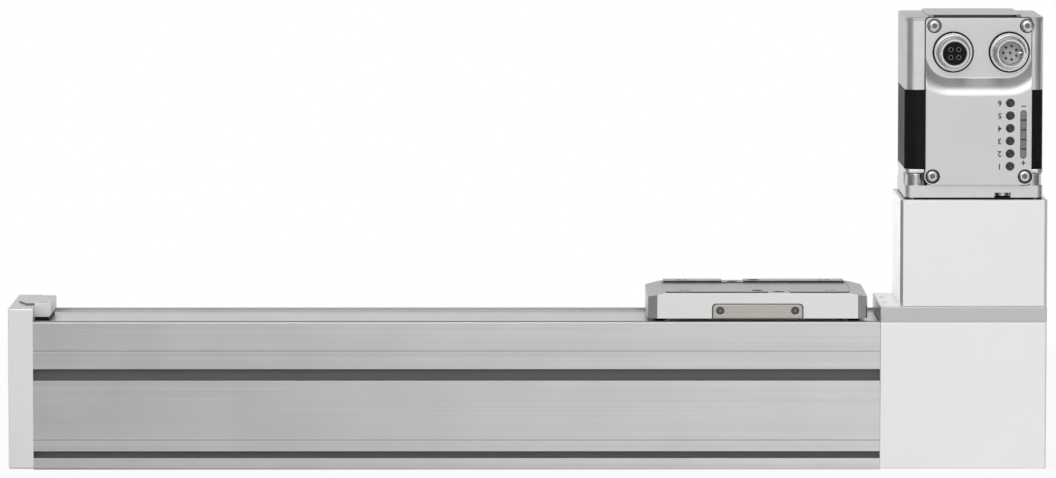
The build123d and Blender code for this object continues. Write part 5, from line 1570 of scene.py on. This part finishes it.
@dataclass
class FrontPanel:
    """Cover with the connector bay, six push keys, the level bar and plain marks."""

    edge: float = 0.15 * MM
    sharp: float = 35.0
    seal_overhang: float = 0.35 * MM
    seal_height: float = 0.3 * MM
    # A key's cap: its radius, rim and dish, and the collar that holds it behind the panel.
    key_radius: float = 1.65 * MM
    key_rim: float = 0.1 * MM
    key_rim_width: float = 0.2 * MM
    key_rim_end: float = 0.35 * MM
    dish_radius: float = 0.8 * MM
    dish_depth: float = 0.42 * MM
    dish_middle: float = 0.3 * MM
    middle_depth: float = 0.55 * MM
    collar_start: float = 2.2 * MM
    collar_end: float = 2.9 * MM
    key_sides: int = 40
    # The level bar's segments and the joints between them.
    segments: int = 5
    joint_width: float = 0.4 * MM
    joint_depth: float = 0.5 * MM
    bar_edge: float = 0.12 * MM
    bar_front: float = 0.95
    # Printed numbers and signs.
    digit_height: float = 2.3 * MM
    digit_offset: float = 4.3 * MM
    text_scale: float = 1.4
    stroke: float = 0.08 * MM
    ink: float = 0.02 * MM
    mark: float = 2.0 * MM
    mark_width: float = 0.45 * MM
    mark_gap: float = 1.7 * MM
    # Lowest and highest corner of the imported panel.
    low: Vector = field(init=False)
    high: Vector = field(init=False)

    def __post_init__(self) -> None:
        """Read the panel's box."""
        self.low, self.high = Packed.box("front_panel")

    def build(self) -> None:
        """Make panel, keys, level bar and marks."""
        self.panel()
        self.seal()
        keys = sorted(n for n in frame["nodes"] if n.startswith("key_"))
        for key in keys:
            self.key(key)
        self.level_bar()
        for number, key in enumerate(reversed(keys), start=1):
            self.digit(str(number), key)
        self.signs()

    def panel(self) -> None:
        """Break the panel's edges; the bay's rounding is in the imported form."""
        panel = Packed.copy("front_panel", "front_panel_form")
        Bench.soften(panel, self.edge, sharp=self.sharp)
        hand_over(panel, "front_panel")

    def seal(self) -> None:
        """Thin black seal behind the panel, a little wider than it, so that its rim paints a dark
        shade line round the panel.
        """
        seal = Packed.copy("front_panel", "panel_seal")
        middle = Vector(((self.low.x + self.high.x) / 2, self.high.y,
                         (self.low.z + self.high.z) / 2))
        size = self.high - self.low
        Bench.resize(seal, middle, (1 + 2 * self.seal_overhang / size.x,
                                    self.seal_height / size.y,
                                    1 + 2 * self.seal_overhang / size.z))
        hand_over(seal, "flange_gasket", stands_for=False)

    def key(self, node: str) -> None:
        """One push key with a rounded rim and a shallow dish.

        Args:
            node: The key's node.
        """
        low, high = Packed.box(node)
        radius = self.key_radius
        rim = radius - self.key_rim
        collar = (high.x - low.x) / 2
        outline = [(self.dish_middle, self.middle_depth), (self.dish_radius, self.dish_depth),
                   (rim - self.key_rim_width, 0.0), (rim, self.key_rim),
                   (radius, self.key_rim_end), (radius, self.collar_start),
                   (collar, self.collar_start), (collar, self.collar_end),
                   (radius / 2, self.collar_end), (radius / 2, high.y - low.y)]
        cap = Bench.turned(node + "_cap", outline, Packed.front(node), Axis.Y.vector,
                           self.key_sides)
        hand_over(cap, node, KEY_GREY)

    def level_bar(self) -> None:
        """Light guide with dark joints between its segments."""
        low, high = Packed.box("level_window")
        bar = Packed.copy("level_window", "level_bar")
        step = (high.z - low.z) / self.segments
        half = self.joint_width / 2
        for i in range(1, self.segments):
            z = low.z + step * i
            Bench.cut(bar, Bench.block("joint", Vector((low.x - MM, low.y - MM, z - half)),
                                       Vector((high.x + MM, low.y + self.joint_depth, z + half))))
        Bench.soften(bar, self.bar_edge)
        hand_over(bar, "level_window", GUIDE_GREY)
        # Black on all but the front faces: the dark joints, and painted shade on the bar's sides.
        Bench.second_finish(bar, INK_AND_SHADE, lambda place, normal: normal.y > -self.bar_front)

    def flat_print(self, piece: bpy.types.Object, name: str) -> None:
        """Hand over a mark that lies on the panel.

        Args:
            piece: The mark.
            name: Its name.
        """
        piece.name = name
        piece.data.name = name
        hand_over(piece, "front_panel", INK_AND_SHADE, stands_for=False, angle=None)

    def digit(self, text: str, key: str) -> None:
        """A plain number beside a key, upside down as the motor hangs.

        Args:
            text: The number.
            key: The key's node.
        """
        bpy.ops.object.select_all(action="DESELECT")
        bpy.ops.object.text_add(location=(0, 0, 0))
        piece = bpy.context.object
        piece.data.body = text
        piece.data.size = self.digit_height * self.text_scale
        piece.data.extrude = self.ink
        piece.data.offset = self.stroke
        piece.data.align_x = "CENTER"
        piece.data.align_y = "CENTER"
        bpy.ops.object.convert(target="MESH")
        piece = bpy.context.object
        middle = Packed.front(key)
        place = Vector((middle.x - self.digit_offset, self.low.y, middle.z))
        stand = Euler((math.radians(90), 0, 0)).to_matrix().to_4x4()
        over = Matrix.Rotation(math.pi, 4, "Y")
        Bench.settle(piece, Matrix.Translation(place) @ over @ stand)
        self.flat_print(piece, "digit_" + text)

    def signs(self) -> None:
        """Minus above and plus below the level bar."""
        low, high = Packed.box("level_window")
        x = (low.x + high.x) / 2
        half, thin = self.mark / 2, self.mark_width / 2

        def bar(name: str, z: float, wide: float, tall: float) -> bpy.types.Object:
            """One printed stroke."""
            return Bench.block(name, Vector((x - wide, self.low.y - self.ink, z - tall)),
                               Vector((x + wide, self.low.y + self.ink, z + tall)))

        self.flat_print(bar("minus", high.z + self.mark_gap, half, thin), "sign_minus")
        z = low.z - self.mark_gap
        plus = Bench.join("plus", [bar("a", z, half, thin), bar("b", z, thin, half)])
        self.flat_print(plus, "sign_plus")


@dataclass(frozen=True)
class Lamp:
    """A soft lamp that faces the object's middle. Sizes are in metres, power in watts."""

    name: str
    place: tuple[float, float, float]
    width: float
    height: float
    power: float
    mirrored: bool = True

    def build(self) -> None:
        """Hang the lamp. The camera doesn't see it, and glossy surfaces do if it is mirrored."""
        data = bpy.data.lights.new(self.name, "AREA")
        data.shape = "RECTANGLE"
        data.size, data.size_y = self.width, self.height
        data.energy = self.power
        made = bpy.data.objects.new(self.name, data)
        bpy.context.scene.collection.objects.link(made)
        made.location = self.place
        made.visible_glossy = self.mirrored
        made.visible_camera = False
        aim = (cad_low + cad_high) / 2 - Vector(self.place)
        made.rotation_euler = aim.to_track_quat("-Z", "Y").to_euler()


LAMPS = [
    Lamp("key", (-0.1, -2.0, 0.95), 1.3, 1.2, 12.5),
    Lamp("fill", (-1.9, -0.4, 0.6), 1.4, 1.4, 30.0, mirrored=False),
    Lamp("top", (0.2, 0.3, 1.7), 1.6, 1.6, 1.6),
]


@dataclass
class Studio:
    """Pale floor, white surround, soft lamps and the camera."""

    # Camera: focal length and film width in millimetres, place in metres, angles in degrees.
    lens: float = 230.42
    film: float = 36.0
    sight: float = 100.0
    place: tuple[float, float, float] = (0.02347, -2.77603, 0.32964)
    pitch: float = 4.890
    yaw: float = 0.119
    # Brightness of the surround by direction, as glossy surfaces show it.
    surround: float = 0.55
    sides: float = 0.16
    side_rise: float = 0.11
    side_tilt: float = 0.15
    overhead: float = 0.16
    front_focus: float = 1.3
    front_narrow: float = 0.8
    front_level: float = 0.82
    front_tilt: float = 0.5
    back_start: float = 0.7
    back_width: float = 4.0
    # Brightness of the floor by place, as glossy surfaces show it.
    floor_level: float = 0.45
    floor_back: float = 2.0
    floor_tilt: float = 1.75
    sheet_edge: float = 1.6
    sheet_fade: float = 2.2
    # The floor itself: how much of it shows white, and how far the object's shadow may reach.
    floor_color: tuple[float, float, float, float] = (0.9, 0.9, 0.9, 1.0)
    floor_size: float = 40.0
    floor_gap: float = 0.02 * MM
    floor_glow: float = 0.88
    shadow_reach: float = 0.5
    white: tuple[float, float, float, float] = (1.0, 1.0, 1.0, 1.0)

    def build(self) -> None:
        """Set up everything that isn't the object."""
        bpy.context.scene.view_settings.view_transform = "Standard"
        self.camera()
        self.world()
        self.floor()
        for lamp in LAMPS:
            lamp.build()

    def camera(self) -> None:
        """Long lens, level with the slide and a little above."""
        data = bpy.data.cameras.new("camera")
        data.lens = self.lens
        data.sensor_width = self.film
        data.clip_end = self.sight
        made = bpy.data.objects.new("camera", data)
        bpy.context.scene.collection.objects.link(made)
        made.location = self.place
        made.rotation_euler = (math.radians(90 - self.pitch), 0, math.radians(-self.yaw))
        bpy.context.scene.camera = made

    def seen(self, graph: Graph) -> Sock:
        """Find the rays from the camera, mirrors and glass.

        Args:
            graph: The graph that needs it.

        Returns:
            One for these rays, zero for others.
        """
        paths = [graph.node("ShaderNodeLightPath", out=name)
                 for name in ("Is Camera Ray", "Is Glossy Ray", "Is Transmission Ray")]
        return (paths[0] + paths[1] + paths[2]).clamped()

    def directed(self, graph: Graph, way: Sock) -> Sock:
        """Brightness of the surround: white behind and straight in front, dim at the sides.

        Args:
            graph: The graph that needs it.
            way: Unit vector away from the object.

        Returns:
            A value from zero to one.
        """
        right, depth, above = graph.parts(way)
        aside = graph.size_of(right)
        front = (0.0 - depth).clamped() ** self.front_focus
        front = front * (1.0 - self.front_narrow * aside).clamped()
        front = front * (self.front_level + self.front_tilt * right)
        behind = ((depth - self.back_start) * self.back_width).clamped()
        sides = self.sides + self.side_rise * aside - self.side_tilt * right
        return (front + behind + sides + self.overhead * above.clamped()).clamped()

    def world(self) -> None:
        """Directed brightness where it is seen, and a plain level of light."""
        world = bpy.data.worlds.new("surround")
        bpy.context.scene.world = world
        world.use_nodes = True
        tree = world.node_tree
        tree.nodes.clear()
        graph = Graph(tree)
        level = self.directed(graph, graph.node("ShaderNodeTexCoord", out="Generated"))
        level = (level + graph.node("ShaderNodeLightPath", out="Is Camera Ray")).clamped()
        plain = graph.node("ShaderNodeBackground", None,
                           {"Color": self.white, "Strength": self.surround})
        shown = graph.node("ShaderNodeBackground", None,
                           {"Color": self.white, "Strength": level})
        both = graph.node("ShaderNodeMixShader", None,
                          {0: self.seen(graph), 1: plain, 2: shown})
        end = tree.nodes.new("ShaderNodeOutputWorld")
        graph.feed(end.inputs["Surface"], both)

    def floor(self) -> None:
        """Pale floor that shows white and keeps the object's shadow."""
        bpy.ops.object.select_all(action="DESELECT")
        bpy.ops.mesh.primitive_plane_add(size=self.floor_size)
        plane = bpy.context.object
        plane.name = "floor"
        Bench.settle(plane, Matrix.Translation((0, 0, cad_low.z - self.floor_gap)))
        made = bpy.data.materials.new("pale_floor")
        made.use_nodes = True
        tree = made.node_tree
        tree.nodes.clear()
        graph = Graph(tree)
        place = graph.node("ShaderNodeTexCoord", out="Object")
        away = graph.node("ShaderNodeVectorMath", {"operation": "LENGTH"}, {0: place}, "Value")
        glow = (self.floor_glow + (away - self.shadow_reach)).clamped()
        share = graph.node("ShaderNodeMath", {"operation": "MAXIMUM"},
                           {0: glow, 1: self.floor_glow})
        camera = graph.node("ShaderNodeLightPath", out="Is Camera Ray")
        right, depth, _ = graph.parts(place)
        sheet = (self.sheet_edge - self.sheet_fade * graph.size_of(right)).clamped()
        front = sheet * (self.floor_level + self.floor_tilt * right)
        behind = (self.floor_back * depth).clamped()
        level = (front + behind + self.sides + camera).clamped()
        matt = graph.node("ShaderNodeBsdfDiffuse", None, {"Color": self.floor_color})
        shown = graph.node("ShaderNodeEmission", None, {"Color": self.white, "Strength": level})
        both = graph.node("ShaderNodeMixShader", None,
                          {0: self.seen(graph) * share, 1: matt, 2: shown})
        end = tree.nodes.new("ShaderNodeOutputMaterial")
        graph.feed(end.inputs["Surface"], both)
        plane.data.materials.append(made)


SCREWS = [
    ScrewSet("panel_screws", Axis.FRONT, 2.6, 1.8, 1.4, 1.25, star=True, edge=1.15,
             washer=2.95),
    ScrewSet("adapter_screws", Axis.Z, 4.25, 5.0, 2.5, 2.3, edge=0.6, least_length=10),
    ScrewSet("adapter_screws", Axis.DOWN, 2.4, 1.6, 1.0, 1.2, edge=0.5, most_length=10),
    ScrewSet("profile_screws", Axis.X, 3.5, 4.0, 2.0, 1.75, both_ways=True),
    ScrewSet("tension_screws", Axis.LEFT, 3.5, 4.0, 2.0, 1.75),
    ScrewSet("slide_plate_screws", Axis.Y, 1.6, 0.6, 1.0, 0.8, edge=0.15, both_ways=True, sides=24),
    ScrewSet("strip_screws", Axis.Z, 1.6, 0.6, 1.0, 0.8, edge=0.15, sides=24,
             finish=FINISHES["bright_screws"]),
    ScrewSet("adjusting_screws", Axis.Z, 2.5, 3.0, 2.4, 1.4),
]
CONNECTORS = [
    Connector("power_socket_shell", "power_socket_insert", 4, True),
    Connector("signal_socket_shell", "signal_socket_insert", 7, False),
]


def dress_nodes() -> None:
    """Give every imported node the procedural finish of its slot."""
    for node, slot in Packed.slots.items():
        data = frame["nodes"][node].data
        data.materials.clear()
        data.materials.append(FINISHES[slot].material())


def main() -> None:
    """Build the sub-assemblies in order."""
    logging.basicConfig(level=logging.INFO, format="%(message)s")
    Studio().build()
    dress_nodes()
    for assembly in (Housings(), CoverStrip(), Stator(), *SCREWS, *CONNECTORS, FrontPanel()):
        assembly.build()


if __name__ == "__main__":
    main()
